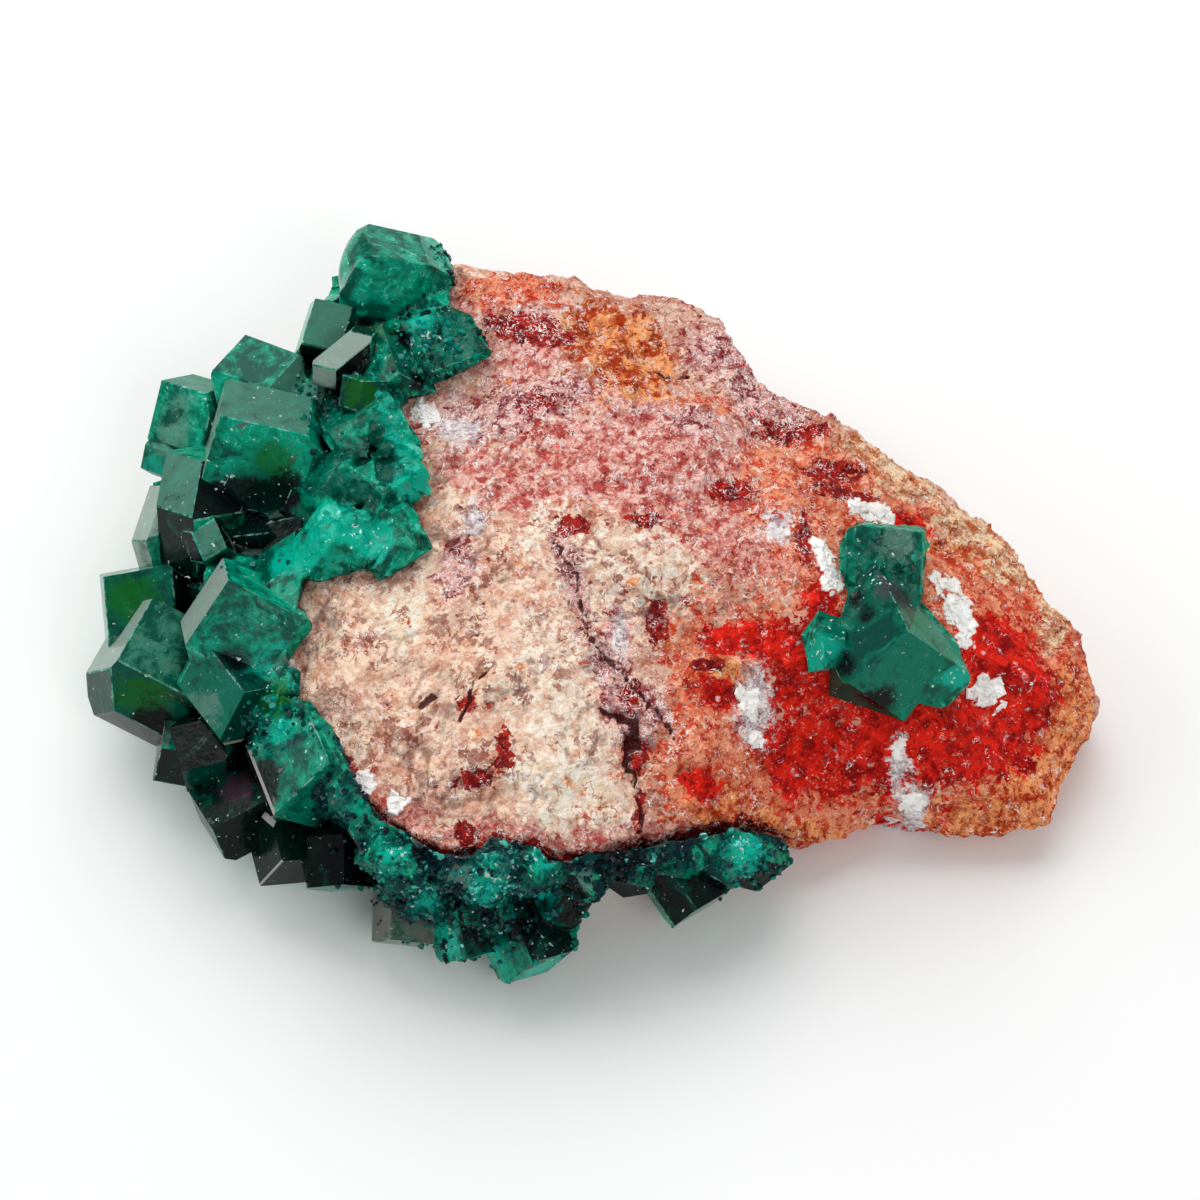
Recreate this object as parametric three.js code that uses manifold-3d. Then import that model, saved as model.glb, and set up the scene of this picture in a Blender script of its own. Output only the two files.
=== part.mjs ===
// Dioptase on matrix: a broken piece of rock lying on its flat back. Short green dioptase crystals
// cover its left end and its front wall, and two more stand together on its right half.
// Millimetres. +X runs along the rock, +Y away from the crystal-covered front wall, +Z up.
import * as THREE from 'three';
import { ConvexGeometry } from 'three/addons/geometries/ConvexGeometry.js';
import { ImprovedNoise } from 'three/addons/math/ImprovedNoise.js';
import { mergeVertices } from 'three/addons/utils/BufferGeometryUtils.js';
import Module from 'manifold-3d';

const wasm = await Module();
wasm.setup();

// Driving dimensions
const crownHeight = 16;          // highest part of the rock above its flat back
const crown = { x: 1, y: 3 };    // plan position of the crown
const contactGap = 0.32;         // clearance between the rock and what grows on it
const crustThickness = 1.5;      // intergrown green crust that the larger crystals stand on
const floorClearance = 0.4;      // lowest point of any crystal above the resting plane
const crustLowEdge = { y: -12, rise: 0.3 };   // the crust ends higher up the wall further back
const domePower = 2.2;           // how late the upper face starts to fall towards its edge
const wallBand = 0.34;           // share of the ball's height that becomes the rock's walls
const backFlare = 0.1;           // how far the walls away from the crystals spread towards the flat back
const frontUndercut = 0.16;      // how far the front wall runs in under the rock
const rockDetail = 10;           // splits of each edge of the twenty-sided ball the rock starts from
const crustDetail = 6;           // the same for the ball the crust starts from
const coarseRelief = { size: 7, push: 0.8, morePushOnWalls: 0.9 };
const fineRelief = { size: 3.1, push: 0.6 };
const lowestRelief = 0.3;        // relief on the walls stops this far above the flat back
const ledgeSoftness = 0.6;       // half the width over which a ledge steps down
const crackEnd = 0.35;           // width and depth of the crack at its ends, against its middle
const crackNarrowing = 0.7;      // width of the crack at the upper face, against above it
const crackHeadroom = 3;         // how far above the upper face the crack's wedge starts
const smallCrystalHeight = 2.6;  // tip to tip of a small crystal, against its prism half-width
const steepestLean = 80;         // degrees that a strewn crystal's tip may lean from upright
const hexagonTurn = 120;         // degrees of turn after which a crystal looks the same
const beyond = 60;               // further out than any part of the specimen

// Dioptase habit: a six-sided prism closed at each end by three faces of a rhombohedron
const rhombFaceTilt = THREE.MathUtils.degToRad(51);   // face normal to the crystal's long axis
const prismFaces = 6;
const capFaces = 3;

// Upper edge of the rock, counter-clockwise from its right end: x, y and height of each point
const rim = [
  [35.9, -4, 6], [33.5, 0.5, 8], [29.3, 5.6, 9.5], [24.5, 9.7, 11], [19.3, 12.6, 12], [14.5, 16.3, 13],
  [10.5, 20, 13.5], [8, 23, 13.5], [1, 25, 14], [-5, 26.5, 14], [-10, 27, 13.5], [-17, 21, 12.5],
  [-24, 13, 12], [-27, 4, 11], [-25, -5, 11], [-19, -13, 11.5], [-13.5, -18, 12], [-10.5, -19.5, 12],
  [-3.5, -20, 11.5], [0, -19, 11], [5.5, -17.5, 10], [11.5, -15.5, 7.5], [15.5, -15, 4],
  [20, -13, 3.5], [25.5, -13.8, 3], [30, -14.4, 3], [31.6, -13.6, 3.5], [32, -10.8, 4.2],
  [32.8, -8.4, 4.6], [34.8, -6.8, 5],
];

// Plan of the ground that the green crust covers: inside the seam on the upper face, out to all sides
const crustPlan = [
  [-11.5, 32], [-10.5, 22], [-11.5, 17.5], [-13.8, 15], [-14, 9], [-13, 3], [-15.5, 0.8], [-20, 0.8],
  [-21, -5], [-21.5, -8], [-18, -10.5], [-16.5, -14.5], [-14.5, -17.5], [-10.5, -19.6], [-3.5, -20.2],
  [0, -19.3], [5.5, -17.7], [9.5, -16.5], [11.5, -20], [6, -40], [-45, -40], [-45, 32],
];

// Rounded swellings of the upper face: x, y, radius, height
const swellings = [
  [-18, -1, 3.6, 1.1], [-16.5, -6.5, 3.2, 1.2], [-9.5, -7.5, 3.4, 0.9], [-11, -13, 4, 0.7],
  [-4, -15, 3.6, 0.6], [7, -12.5, 3, 0.7], [5, 12, 5, 0.8], [-3, 19, 4, 0.8],
  [12, 6, 5, 0.7], [24, -9, 3.4, 0.9], [30, -4, 3, 0.7], [17, -10, 3, -0.8], [19, 5, 4, -0.9],
  [21, -7, 4, 0.9], [-22.6, 5, 3, -2.4],
];

// Straight breaks where the upper face steps down: a point on the step, the way it falls, its height
const ledges = [
  { x: 2, y: -8, fallsTo: -20, drop: 0.7 },
  { x: 14, y: 10, fallsTo: 52, drop: 0.9 },
  { x: 22, y: 5, fallsTo: 55, drop: 0.8 },
  { x: -2, y: 14, fallsTo: 100, drop: 0.6 },
];

// The open crack and its branch, in plan
const crack = [[-3, 2.5], [-1.5, -1.5], [-1, -5], [1, -8], [3.5, -10], [5, -12.5]];
const crackBranch = [[1, -8], [2.5, -12], [2, -15], [3.2, -18.5]];
const crackWidth = 0.9;
const crackDepth = 1.4;

// Larger crystals of the cluster. at: centre; half: prism centre to prism face; tall: tip to tip;
// lean: tip's angle from upright; heading: the way it leans; turn: about its own axis. Degrees.
const clusterCrystals = [
  { at: [-14.8, 25.7, 12.5], half: 5.8, tall: 14, lean: 18, heading: -148, turn: 22, seed: 1, blunt: 0.79 },
  { at: [-11, 19.2, 13.5], half: 3, tall: 8, lean: 60, heading: -20, turn: 10, seed: 2 },
  { at: [-18.8, 20.6, 12.2], half: 2.4, tall: 8.5, lean: 30, heading: 130, turn: 30, seed: 3 },
  { at: [-17.7, 17.4, 15.8], half: 1.3, tall: 6, lean: 80, heading: 40, turn: 40, seed: 4 },
  { at: [-15.1, 17, 13.5], half: 3.2, tall: 9, lean: 30, heading: -60, turn: 15, seed: 5 },
  { at: [-24, 16.9, 11.5], half: 3.5, tall: 9.5, lean: 60, heading: 105, turn: 15, seed: 6 },
  { at: [-28.3, 15.9, 9.5], half: 3.1, tall: 8.5, lean: 50, heading: 150, turn: 0, seed: 7 },
  { at: [-30.9, 13.8, 8.5], half: 1.4, tall: 4, lean: 40, heading: 180, turn: 0, seed: 27 },
  { at: [-23, 10.9, 13], half: 4.5, tall: 12.6, lean: 26, heading: -165, turn: 16, seed: 8 },
  { at: [-27.4, 7.8, 11.2], half: 3.2, tall: 12, lean: 85, heading: -95, turn: 0, seed: 9 },
  { at: [-29.8, 8.2, 7.8], half: 2.5, tall: 10.5, lean: 80, heading: -100, turn: 15, seed: 10 },
  { at: [-27, 4.4, 12.6], half: 1.7, tall: 5.5, lean: 50, heading: -40, turn: 20, seed: 11 },
  { at: [-23.8, 5.2, 11], half: 2.2, tall: 6, lean: 40, heading: 210, turn: 30, seed: 39 },
  { at: [-21.2, 4.7, 11.6], half: 2.1, tall: 5.5, lean: 55, heading: -70, turn: 0, seed: 43 },
  { at: [-19.6, 7.2, 13], half: 2.1, tall: 5.5, lean: 30, heading: -20, turn: 50, seed: 44 },
  { at: [-25.4, 1.6, 11.6], half: 2.1, tall: 5.5, lean: 45, heading: 190, turn: 10, seed: 45 },
  { at: [-16.1, 11.6, 14.4], half: 3.3, tall: 8.5, lean: 25, heading: 40, turn: 0, seed: 12 },
  { at: [-14.6, 6.6, 14.4], half: 3, tall: 8, lean: 45, heading: 10, turn: 20, seed: 28 },
  { at: [-14, 2.7, 14.2], half: 2.8, tall: 7.5, lean: 35, heading: -50, turn: 30, seed: 13 },
  { at: [-17.9, 2.8, 13.8], half: 3, tall: 8, lean: 20, heading: -90, turn: 15, seed: 14 },
  { at: [-18.4, 7.4, 13.6], half: 2.5, tall: 7, lean: 30, heading: 60, turn: 40, seed: 38 },
  { at: [-31.7, 1.3, 8.2], half: 3.5, tall: 10, lean: 35, heading: 170, turn: 45, seed: 15 },
  { at: [-24.2, -2.6, 12.4], half: 4.3, tall: 12, lean: 10, heading: 120, turn: 15, seed: 16 },
  { at: [-30.7, -3.4, 7.6], half: 3.9, tall: 11.5, lean: 30, heading: 90, turn: 30, seed: 17 },
  { at: [-24.5, -6, 10.5], half: 3.6, tall: 10, lean: 35, heading: -70, turn: 40, seed: 18 },
  { at: [-19.3, -11.6, 9.6], half: 3.9, tall: 11, lean: 30, heading: -60, turn: 20, seed: 19 },
  { at: [-27.7, -7.7, 5.5], half: 2.8, tall: 8.5, lean: 40, heading: -140, turn: 10, seed: 20 },
  { at: [-26.8, -9, 7.5], half: 2.3, tall: 7.5, lean: 60, heading: -120, turn: 30, seed: 29 },
  { at: [-24.3, -12.3, 5.2], half: 2.8, tall: 9, lean: 50, heading: -120, turn: 50, seed: 21 },
  { at: [-21, -15, 5], half: 2.6, tall: 8.5, lean: 50, heading: -100, turn: 20, seed: 22 },
  { at: [-17.5, -16.4, 6], half: 2.7, tall: 8, lean: 60, heading: -80, turn: 0, seed: 30 },
  { at: [-12.9, -19.4, 4], half: 2.8, tall: 8, lean: 60, heading: -110, turn: 0, seed: 23, blunt: 0.9 },
  { at: [-8.9, -20.4, 4.5], half: 2.5, tall: 7.5, lean: 70, heading: -90, turn: 15, seed: 31 },
  { at: [-4.8, -21.6, 4], half: 3.1, tall: 8.5, lean: 50, heading: -80, turn: 30, seed: 24, blunt: 0.9 },
  { at: [5.8, -17.6, 5.2], half: 3.6, tall: 9.4, lean: 62, heading: -80, turn: 40, seed: 25, blunt: 0.84 },
  { at: [10.2, -15.9, 5.2], half: 2.5, tall: 6.8, lean: 35, heading: -60, turn: 20, seed: 26 },
  { at: [-12.5, 27.9, 6.6], half: 2.8, tall: 8, lean: 60, heading: 80, turn: 10, seed: 32 },
  { at: [-17.8, 24.2, 9.6], half: 2.9, tall: 8.5, lean: 55, heading: 115, turn: 30, seed: 33 },
  { at: [-22.5, 19.3, 8.2], half: 2.7, tall: 8, lean: 65, heading: 130, turn: 0, seed: 34 },
  { at: [-28.4, 11.4, 6.2], half: 2.5, tall: 8, lean: 70, heading: 165, turn: 20, seed: 35 },
  { at: [-29, 1.8, 4.4], half: 2.7, tall: 8, lean: 75, heading: 185, turn: 40, seed: 36 },
  { at: [-28.3, -5, 3.8], half: 2.4, tall: 7, lean: 70, heading: 200, turn: 0, seed: 37 },
];

const pairCrystals = [
  { at: [19.7, -3.7, 11.5], half: 4.9, tall: 12.5, lean: 17, heading: -50, turn: 12, seed: 40 },
  { at: [19.6, 2.2, 12.4], half: 4.2, tall: 9, lean: 35, heading: 12, turn: 80, seed: 41, blunt: 0.88 },
  { at: [15.7, -2.7, 12.2], half: 1.8, tall: 9.4, lean: 65, heading: -100, turn: 10, seed: 42 },
];

// Lines on the rock along which small crystals stand between the larger ones
const strewnLines = [
  { from: [-17, 13, 15], to: [-14.5, 2, 15], count: 5, spread: 5, halves: [1.3, 2], seed: 61 },
  { from: [-15.5, -19.2, 11], to: [-1, -20.3, 10.6], count: 7, spread: 1.2, halves: [1.4, 2], seed: 62 },
  { from: [-14, -20.5, 7.4], to: [-1.6, -20.2, 7], count: 5, spread: 2.3, halves: [1.5, 2.1], seed: 63 },
  { from: [1, -19.2, 9.4], to: [11.4, -16.6, 7.2], count: 5, spread: 1.2, halves: [1.2, 1.9], seed: 64 },
  { from: [-27.5, 13, 8], to: [-28.5, -2, 5.5], count: 3, spread: 2.4, halves: [1.4, 2], seed: 65 },
  { from: [-21.3, -5.5, 12], to: [-15.6, -16.5, 11.6], count: 4, spread: 1.6, halves: [1.3, 1.9], seed: 66 },
];

// ---------- helpers ----------

function solidFrom(geometry) {
  geometry.deleteAttribute('normal');
  geometry.deleteAttribute('uv');
  const merged = mergeVertices(geometry, 1e-4);
  const mesh = new wasm.Mesh({
    numProp: 3,
    vertProperties: merged.attributes.position.array,
    triVerts: new Uint32Array(merged.index.array),
  });
  return new wasm.Manifold(mesh);
}

function geometryFrom(solid) {
  const mesh = solid.getMesh();
  const geometry = new THREE.BufferGeometry();
  geometry.setAttribute('position', new THREE.BufferAttribute(Float32Array.from(mesh.vertProperties), 3));
  geometry.setIndex(new THREE.BufferAttribute(Uint32Array.from(mesh.triVerts), 1));
  return geometry;
}

function blockSolid(lowX, highX, lowY, highY, lowZ, highZ) {
  const box = new THREE.BoxGeometry(highX - lowX, highY - lowY, highZ - lowZ);
  box.translate((lowX + highX) / 2, (lowY + highY) / 2, (lowZ + highZ) / 2);
  return solidFrom(box);
}

// An upright column on a plan outline, taller than the specimen
function columnSolid(outline) {
  const shape = new THREE.Shape(outline.map(([x, y]) => new THREE.Vector2(x, y)));
  return solidFrom(new THREE.ExtrudeGeometry(shape, { depth: beyond, bevelEnabled: false }));
}

function convexSolid(points) {
  return solidFrom(new ConvexGeometry(points));
}

function joined(solids) {
  return solids.reduce((whole, solid) => whole.add(solid));
}

// The same sequence of numbers from 0 to 1 for the same seed
function seededRandom(seed) {
  let state = seed * 2654435761 % 4294967296;
  return () => {
    state = (state * 1664525 + 1013904223) % 4294967296;
    return state / 4294967296;
  };
}

// ---------- rock ----------

const noise = new ImprovedNoise();
const rimCurve = new THREE.CatmullRomCurve3(rim.map((p) => new THREE.Vector3(...p)), true, 'centripetal');
const rimSamples = rimCurve.getSpacedPoints(360).slice(0, 360).map((point) => ({
  point,
  angle: Math.atan2(point.y - crown.y, point.x - crown.x),
})).sort((a, b) => a.angle - b.angle);

function rimAt(angle) {
  const last = rimSamples.length - 1;
  let next = rimSamples.findIndex((sample) => sample.angle >= angle);
  if (next <= 0) return rimSamples[next === 0 ? 0 : last].point.clone();
  const before = rimSamples[next - 1];
  const after = rimSamples[next];
  const share = (angle - before.angle) / (after.angle - before.angle);
  return before.point.clone().lerp(after.point, share);
}

function upperFaceHeight(x, y) {
  const edge = rimAt(Math.atan2(y - crown.y, x - crown.x));
  const reach = Math.hypot(x - crown.x, y - crown.y) / Math.hypot(edge.x - crown.x, edge.y - crown.y);
  const inner = Math.min(reach, 1);
  let height = crownHeight + (edge.z - crownHeight) * inner ** domePower;
  for (const [sx, sy, radius, rise] of swellings) {
    height += rise * Math.exp(-((x - sx) ** 2 + (y - sy) ** 2) / radius ** 2);
  }
  for (const { x: lx, y: ly, fallsTo, drop } of ledges) {
    const way = THREE.MathUtils.degToRad(fallsTo);
    const past = (x - lx) * Math.cos(way) + (y - ly) * Math.sin(way);
    height -= drop * THREE.MathUtils.smoothstep(past, -ledgeSoftness, ledgeSoftness) * (1 - inner ** 4);
  }
  return height;
}

// A ball of even triangles, pulled out into the rock: its top becomes the upper face, its belt the
// walls and its bottom the flat back
function rockForm(detail) {
  const ball = mergeVertices(bareGeometry(new THREE.IcosahedronGeometry(1, detail)), 1e-4);
  const spot = ball.attributes.position;
  for (let i = 0; i < spot.count; i += 1) {
    const angle = Math.atan2(spot.getY(i), spot.getX(i));
    const edge = rimAt(angle);
    const rise = spot.getZ(i);
    const spread = Math.min(1, Math.sqrt((1 - Math.abs(rise)) / (1 - wallBand)));
    const x = crown.x + (edge.x - crown.x) * spread;
    const y = crown.y + (edge.y - crown.y) * spread;
    if (rise > wallBand) {
      spot.setXYZ(i, x, y, upperFaceHeight(x, y));
      continue;
    }
    const down = Math.min(1, (wallBand - rise) / (2 * wallBand));
    const backward = Math.sin(angle);
    const flare = 1 + down * (backward > 0 ? backFlare : frontUndercut) * backward;
    const wallX = crown.x + (edge.x - crown.x) * Math.min(1, spread) * flare;
    const wallY = crown.y + (edge.y - crown.y) * Math.min(1, spread) * flare;
    spot.setXYZ(i, wallX, wallY, edge.z * (1 - down));
  }
  return ball;
}

// The rough rock, grown outward all over
function rockSolid(growth) {
  return solidFrom(swell(roughen(rockForm(rockDetail)), growth));
}

function bareGeometry(geometry) {
  geometry.deleteAttribute('normal');
  geometry.deleteAttribute('uv');
  return geometry;
}

function noiseAt(x, y, z, size) {
  return noise.noise(x / size, y / size, z / size);
}

// Broken-rock relief in two sizes of lump, along the surface's own normal; the flat back stays flat
function roughen(geometry) {
  geometry.computeVertexNormals();
  const spot = geometry.attributes.position;
  const normal = geometry.attributes.normal;
  for (let i = 0; i < spot.count; i += 1) {
    const [x, y, z] = [spot.getX(i), spot.getY(i), spot.getZ(i)];
    if (z < 0.01) continue;
    const steepness = 1 - Math.abs(normal.getZ(i));
    const coarsePush = coarseRelief.push + coarseRelief.morePushOnWalls * steepness;
    const push = coarsePush * noiseAt(x, y, z, coarseRelief.size)
      + fineRelief.push * noiseAt(x, y, z, fineRelief.size);
    spot.setXYZ(
      i,
      x + normal.getX(i) * push,
      y + normal.getY(i) * push,
      Math.max(lowestRelief, z + normal.getZ(i) * push),
    );
  }
  return geometry;
}

function swell(geometry, growth) {
  geometry.computeVertexNormals();
  const spot = geometry.attributes.position;
  const normal = geometry.attributes.normal;
  for (let i = 0; i < spot.count; i += 1) {
    spot.setXYZ(
      i,
      spot.getX(i) + normal.getX(i) * growth,
      spot.getY(i) + normal.getY(i) * growth,
      spot.getZ(i) + normal.getZ(i) * growth,
    );
  }
  return geometry;
}

// One wedge for each stretch of the crack, narrow below and running out to a point at its ends
function crackSolid(path) {
  const stretches = [];
  for (let i = 1; i < path.length; i += 1) {
    const corners = [];
    for (const place of [i - 1, i]) {
      const [x, y] = path[place];
      const endwise = place === 0 || place === path.length - 1 ? crackEnd : 1;
      const surface = upperFaceHeight(x, y);
      const half = crackWidth * endwise / 2;
      corners.push(new THREE.Vector3(x - half, y, surface + crackHeadroom));
      corners.push(new THREE.Vector3(x + half, y, surface + crackHeadroom));
      corners.push(new THREE.Vector3(x - half * crackNarrowing, y, surface));
      corners.push(new THREE.Vector3(x + half * crackNarrowing, y, surface));
      corners.push(new THREE.Vector3(x, y, surface - crackDepth * endwise));
    }
    stretches.push(convexSolid(corners));
  }
  return joined(stretches);
}

// ---------- crystals ----------

// Corners of the space inside every plane; a plane is its outward normal and its distance
function cornersInside(planes) {
  const corners = [];
  for (let a = 0; a < planes.length; a += 1) {
    for (let b = a + 1; b < planes.length; b += 1) {
      for (let c = b + 1; c < planes.length; c += 1) {
        const corner = meetingPoint(planes[a], planes[b], planes[c]);
        if (corner && planes.every(({ n, d }) => n.dot(corner) < d + 1e-6)) corners.push(corner);
      }
    }
  }
  return corners;
}

function meetingPoint(p, q, r) {
  const qr = q.n.clone().cross(r.n);
  const det = p.n.dot(qr);
  if (Math.abs(det) < 1e-6) return null;
  const rp = r.n.clone().cross(p.n);
  const pq = p.n.clone().cross(q.n);
  return qr.multiplyScalar(p.d).add(rp.multiplyScalar(q.d)).add(pq.multiplyScalar(r.d)).divideScalar(det);
}

// The faces of one crystal about its own centre and axis, each grown a little more or less than its twin
function crystalPlanes({ half, tall, seed, blunt, uneven = 0.12 }) {
  const random = seededRandom(seed);
  const vary = () => 1 + uneven * (2 * random() - 1);
  const planes = [];
  for (let face = 0; face < prismFaces; face += 1) {
    const way = face * 2 * Math.PI / prismFaces;
    planes.push({ n: new THREE.Vector3(Math.cos(way), Math.sin(way), 0), d: half * vary() });
  }
  const capDistance = tall / 2 * Math.cos(rhombFaceTilt);
  for (let face = 0; face < capFaces; face += 1) {
    const way = Math.PI / prismFaces + face * 2 * Math.PI / capFaces;
    const n = new THREE.Vector3(
      Math.sin(rhombFaceTilt) * Math.cos(way),
      Math.sin(rhombFaceTilt) * Math.sin(way),
      Math.cos(rhombFaceTilt),
    );
    planes.push({ n, d: capDistance * vary() });
    planes.push({ n: n.clone().negate(), d: capDistance * vary() });
  }
  return blunt ? [...planes, ...edgeFacets(planes, blunt)] : planes;
}

// Narrow facets that blunt the edges between neighbouring faces
function edgeFacets(planes, blunt) {
  const facets = [];
  for (let a = 0; a < planes.length; a += 1) {
    for (let b = a + 1; b < planes.length; b += 1) {
      const across = planes[a].n.dot(planes[b].n);
      if (across < 0.1) continue;
      const n = planes[a].n.clone().add(planes[b].n);
      const toEdge = (planes[a].d + planes[b].d) / n.length();
      facets.push({ n: n.normalize(), d: toEdge * blunt });
    }
  }
  return facets;
}

function crystalSolid(crystal) {
  const { at, lean, heading, turn } = crystal;
  const angle = THREE.MathUtils.degToRad;
  const stance = new THREE.Matrix4().makeRotationZ(angle(heading))
    .multiply(new THREE.Matrix4().makeRotationY(angle(lean)))
    .multiply(new THREE.Matrix4().makeRotationZ(angle(turn - heading)));
  const corners = cornersInside(crystalPlanes(crystal)).map((corner) => corner.applyMatrix4(stance)
    .add(new THREE.Vector3(...at)));
  return convexSolid(corners);
}

// Small crystals strewn along a line on the rock, each leaning its own way
function strewnCrystals({ from, to, count, spread, halves: [smallest, largest], seed }) {
  const random = seededRandom(seed);
  const start = new THREE.Vector3(...from);
  const end = new THREE.Vector3(...to);
  const crystals = [];
  for (let i = 0; i < count; i += 1) {
    const place = start.clone().lerp(end, (i + random()) / count);
    place.x += spread * (random() - 0.5);
    place.y += spread * (random() - 0.5);
    place.z += spread * (random() - 0.5);
    const half = smallest + (largest - smallest) * random() ** 2;
    crystals.push({
      at: place.toArray(),
      half,
      tall: half * smallCrystalHeight,
      lean: steepestLean * random(),
      heading: 360 * random(),
      turn: hexagonTurn * random(),
      seed: seed * 100 + i,
      uneven: 0,
    });
  }
  return crystals;
}

// The space low on the left end's wall that the crust leaves bare
function bareWallSolid() {
  const corners = [];
  const highest = floorClearance + (beyond - crustLowEdge.y) * crustLowEdge.rise;
  for (const x of [-beyond, beyond]) {
    corners.push(new THREE.Vector3(x, crustLowEdge.y, floorClearance));
    corners.push(new THREE.Vector3(x, beyond, highest));
    corners.push(new THREE.Vector3(x, beyond, -1));
    corners.push(new THREE.Vector3(x, crustLowEdge.y, -1));
  }
  return convexSolid(corners);
}

function clusterSolid() {
  const crystals = [...clusterCrystals, ...strewnLines.flatMap(strewnCrystals)];
  const grownRock = solidFrom(swell(rockForm(crustDetail), crustThickness));
  const crust = grownRock.intersect(columnSolid(crustPlan)).subtract(bareWallSolid());
  const whole = joined([crust, ...crystals.map(crystalSolid)]);
  const aboveFloor = blockSolid(-beyond, beyond, -beyond, beyond, floorClearance, beyond);
  return largestBody(whole.intersect(aboveFloor).subtract(rockSolid(contactGap)));
}

function pairSolid() {
  return largestBody(joined(pairCrystals.map(crystalSolid)).subtract(rockSolid(contactGap)));
}

// Slivers that a cut leaves loose are dropped
function largestBody(solid) {
  return solid.decompose().reduce((best, body) => (body.volume() > best.volume() ? body : best));
}

function matrixSolid() {
  return largestBody(rockSolid(0).subtract(crackSolid(crack)).subtract(crackSolid(crackBranch)));
}

// ---------- specimen ----------

function addPiece(group, name, solid, finish) {
  const mesh = new THREE.Mesh(geometryFrom(solid), new THREE.MeshStandardMaterial(finish));
  mesh.name = name;
  group.add(mesh);
}

// The whole is moved so that the middle of its underside is the origin
function centreOnUnderside(group) {
  const box = new THREE.Box3().setFromObject(group);
  const middle = box.getCenter(new THREE.Vector3());
  for (const mesh of group.children) mesh.geometry.translate(-middle.x, -middle.y, -box.min.z);
}

const specimen = new THREE.Group();
addPiece(specimen, 'matrix', matrixSolid(), { color: 0xd79a83, roughness: 0.85, metalness: 0 });
addPiece(specimen, 'dioptase_cluster', clusterSolid(), { color: 0x00785a, roughness: 0.12, metalness: 0 });
addPiece(specimen, 'dioptase_pair', pairSolid(), { color: 0x006a52, roughness: 0.12, metalness: 0 });
centreOnUnderside(specimen);

export default specimen;
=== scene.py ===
# Dioptase on matrix: the looks of a broken piece of rock with green crystals. Metres, in the CAD frame.
import math
from functools import partial

import bmesh
import bpy
import numpy as np
from mathutils import Matrix, Vector, noise
from mathutils.bvhtree import BVHTree


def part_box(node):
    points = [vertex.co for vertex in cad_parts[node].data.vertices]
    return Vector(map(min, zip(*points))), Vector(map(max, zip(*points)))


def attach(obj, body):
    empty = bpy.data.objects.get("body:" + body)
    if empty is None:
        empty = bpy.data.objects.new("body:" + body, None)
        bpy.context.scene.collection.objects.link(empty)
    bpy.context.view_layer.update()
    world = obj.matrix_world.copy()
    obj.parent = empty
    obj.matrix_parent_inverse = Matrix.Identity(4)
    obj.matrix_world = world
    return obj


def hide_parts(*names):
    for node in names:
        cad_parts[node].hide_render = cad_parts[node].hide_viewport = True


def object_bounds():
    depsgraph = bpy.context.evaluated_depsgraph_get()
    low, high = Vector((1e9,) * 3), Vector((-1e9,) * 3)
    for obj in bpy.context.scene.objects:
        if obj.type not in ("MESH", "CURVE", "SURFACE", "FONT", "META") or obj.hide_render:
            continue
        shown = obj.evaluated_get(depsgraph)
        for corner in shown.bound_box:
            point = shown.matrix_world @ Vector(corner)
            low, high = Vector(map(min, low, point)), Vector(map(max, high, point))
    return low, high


mm = 0.001
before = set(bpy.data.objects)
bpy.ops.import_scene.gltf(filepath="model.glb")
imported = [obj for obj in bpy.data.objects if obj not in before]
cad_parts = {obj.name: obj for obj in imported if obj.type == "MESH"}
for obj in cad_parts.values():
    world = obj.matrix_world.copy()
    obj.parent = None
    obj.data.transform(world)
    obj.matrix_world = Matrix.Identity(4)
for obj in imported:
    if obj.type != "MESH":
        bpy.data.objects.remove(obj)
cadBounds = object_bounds()


def linearColour(code):  # "#rrggbb" as seen on a screen, to the linear values that shaders use
    parts = [int(code[i:i + 2], 16) / 255 for i in (1, 3, 5)]
    return [p / 12.92 if p <= 0.04045 else ((p + 0.055) / 1.055) ** 2.4 for p in parts] + [1.0]


# Inputs go by name, or in order; each is a value, a socket, or a node for its first output
def addNode(tree, kind, inputs=(), **settings):
    node = tree.nodes.new(kind)
    for name, value in settings.items():
        setattr(node, name, value)
    for name, value in inputs.items() if isinstance(inputs, dict) else enumerate(inputs):
        socket = node.inputs[name] if isinstance(name, int) else next(
            s for s in node.inputs if s.enabled and s.name == name)
        if isinstance(value, bpy.types.Node):
            value = next(s for s in value.outputs if s.enabled)
        if isinstance(value, bpy.types.NodeSocket):
            tree.links.new(value, socket)
        else:
            socket.default_value = value
    return node


def perMm(size):  # a pattern's scale on Object coordinates, from its real size in mm
    return 1 / (size * mm)


# A material, what adds a node to it, its noises (size in mm, detail, roughness and distortion) and what it
# reads from the mesh
def newMaterial(name, noises=None, stored=()):
    material = bpy.data.materials.new(name)
    material.use_nodes = True
    material.node_tree.nodes.clear()
    add = partial(addNode, material.node_tree)
    place = add("ShaderNodeTexCoord").outputs["Object"]
    noises = {key: add("ShaderNodeTexNoise", {
        "Vector": place, "Scale": perMm(size), "Detail": detail, "Roughness": rough, "Distortion": twist})
        for key, (size, detail, rough, twist) in (noises or {}).items()}
    stored = {key: add("ShaderNodeAttribute", attribute_name=key).outputs["Fac"] for key in stored}
    return material, add, place, noises, stored


def newPiece(name, mesh):
    piece = bpy.data.objects.new(name, mesh)
    bpy.context.scene.collection.objects.link(piece)
    return piece


def pieceFrom(work, name):
    mesh = bpy.data.meshes.new(name)
    work.to_mesh(mesh)
    work.free()
    return newPiece(name, mesh)


def mergedCopy(nodeName):  # a CAD node's triangles joined into one closed mesh
    work = bmesh.new()
    work.from_mesh(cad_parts[nodeName].data)
    bmesh.ops.remove_doubles(work, verts=work.verts, dist=0.0005 * mm)
    return work


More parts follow.
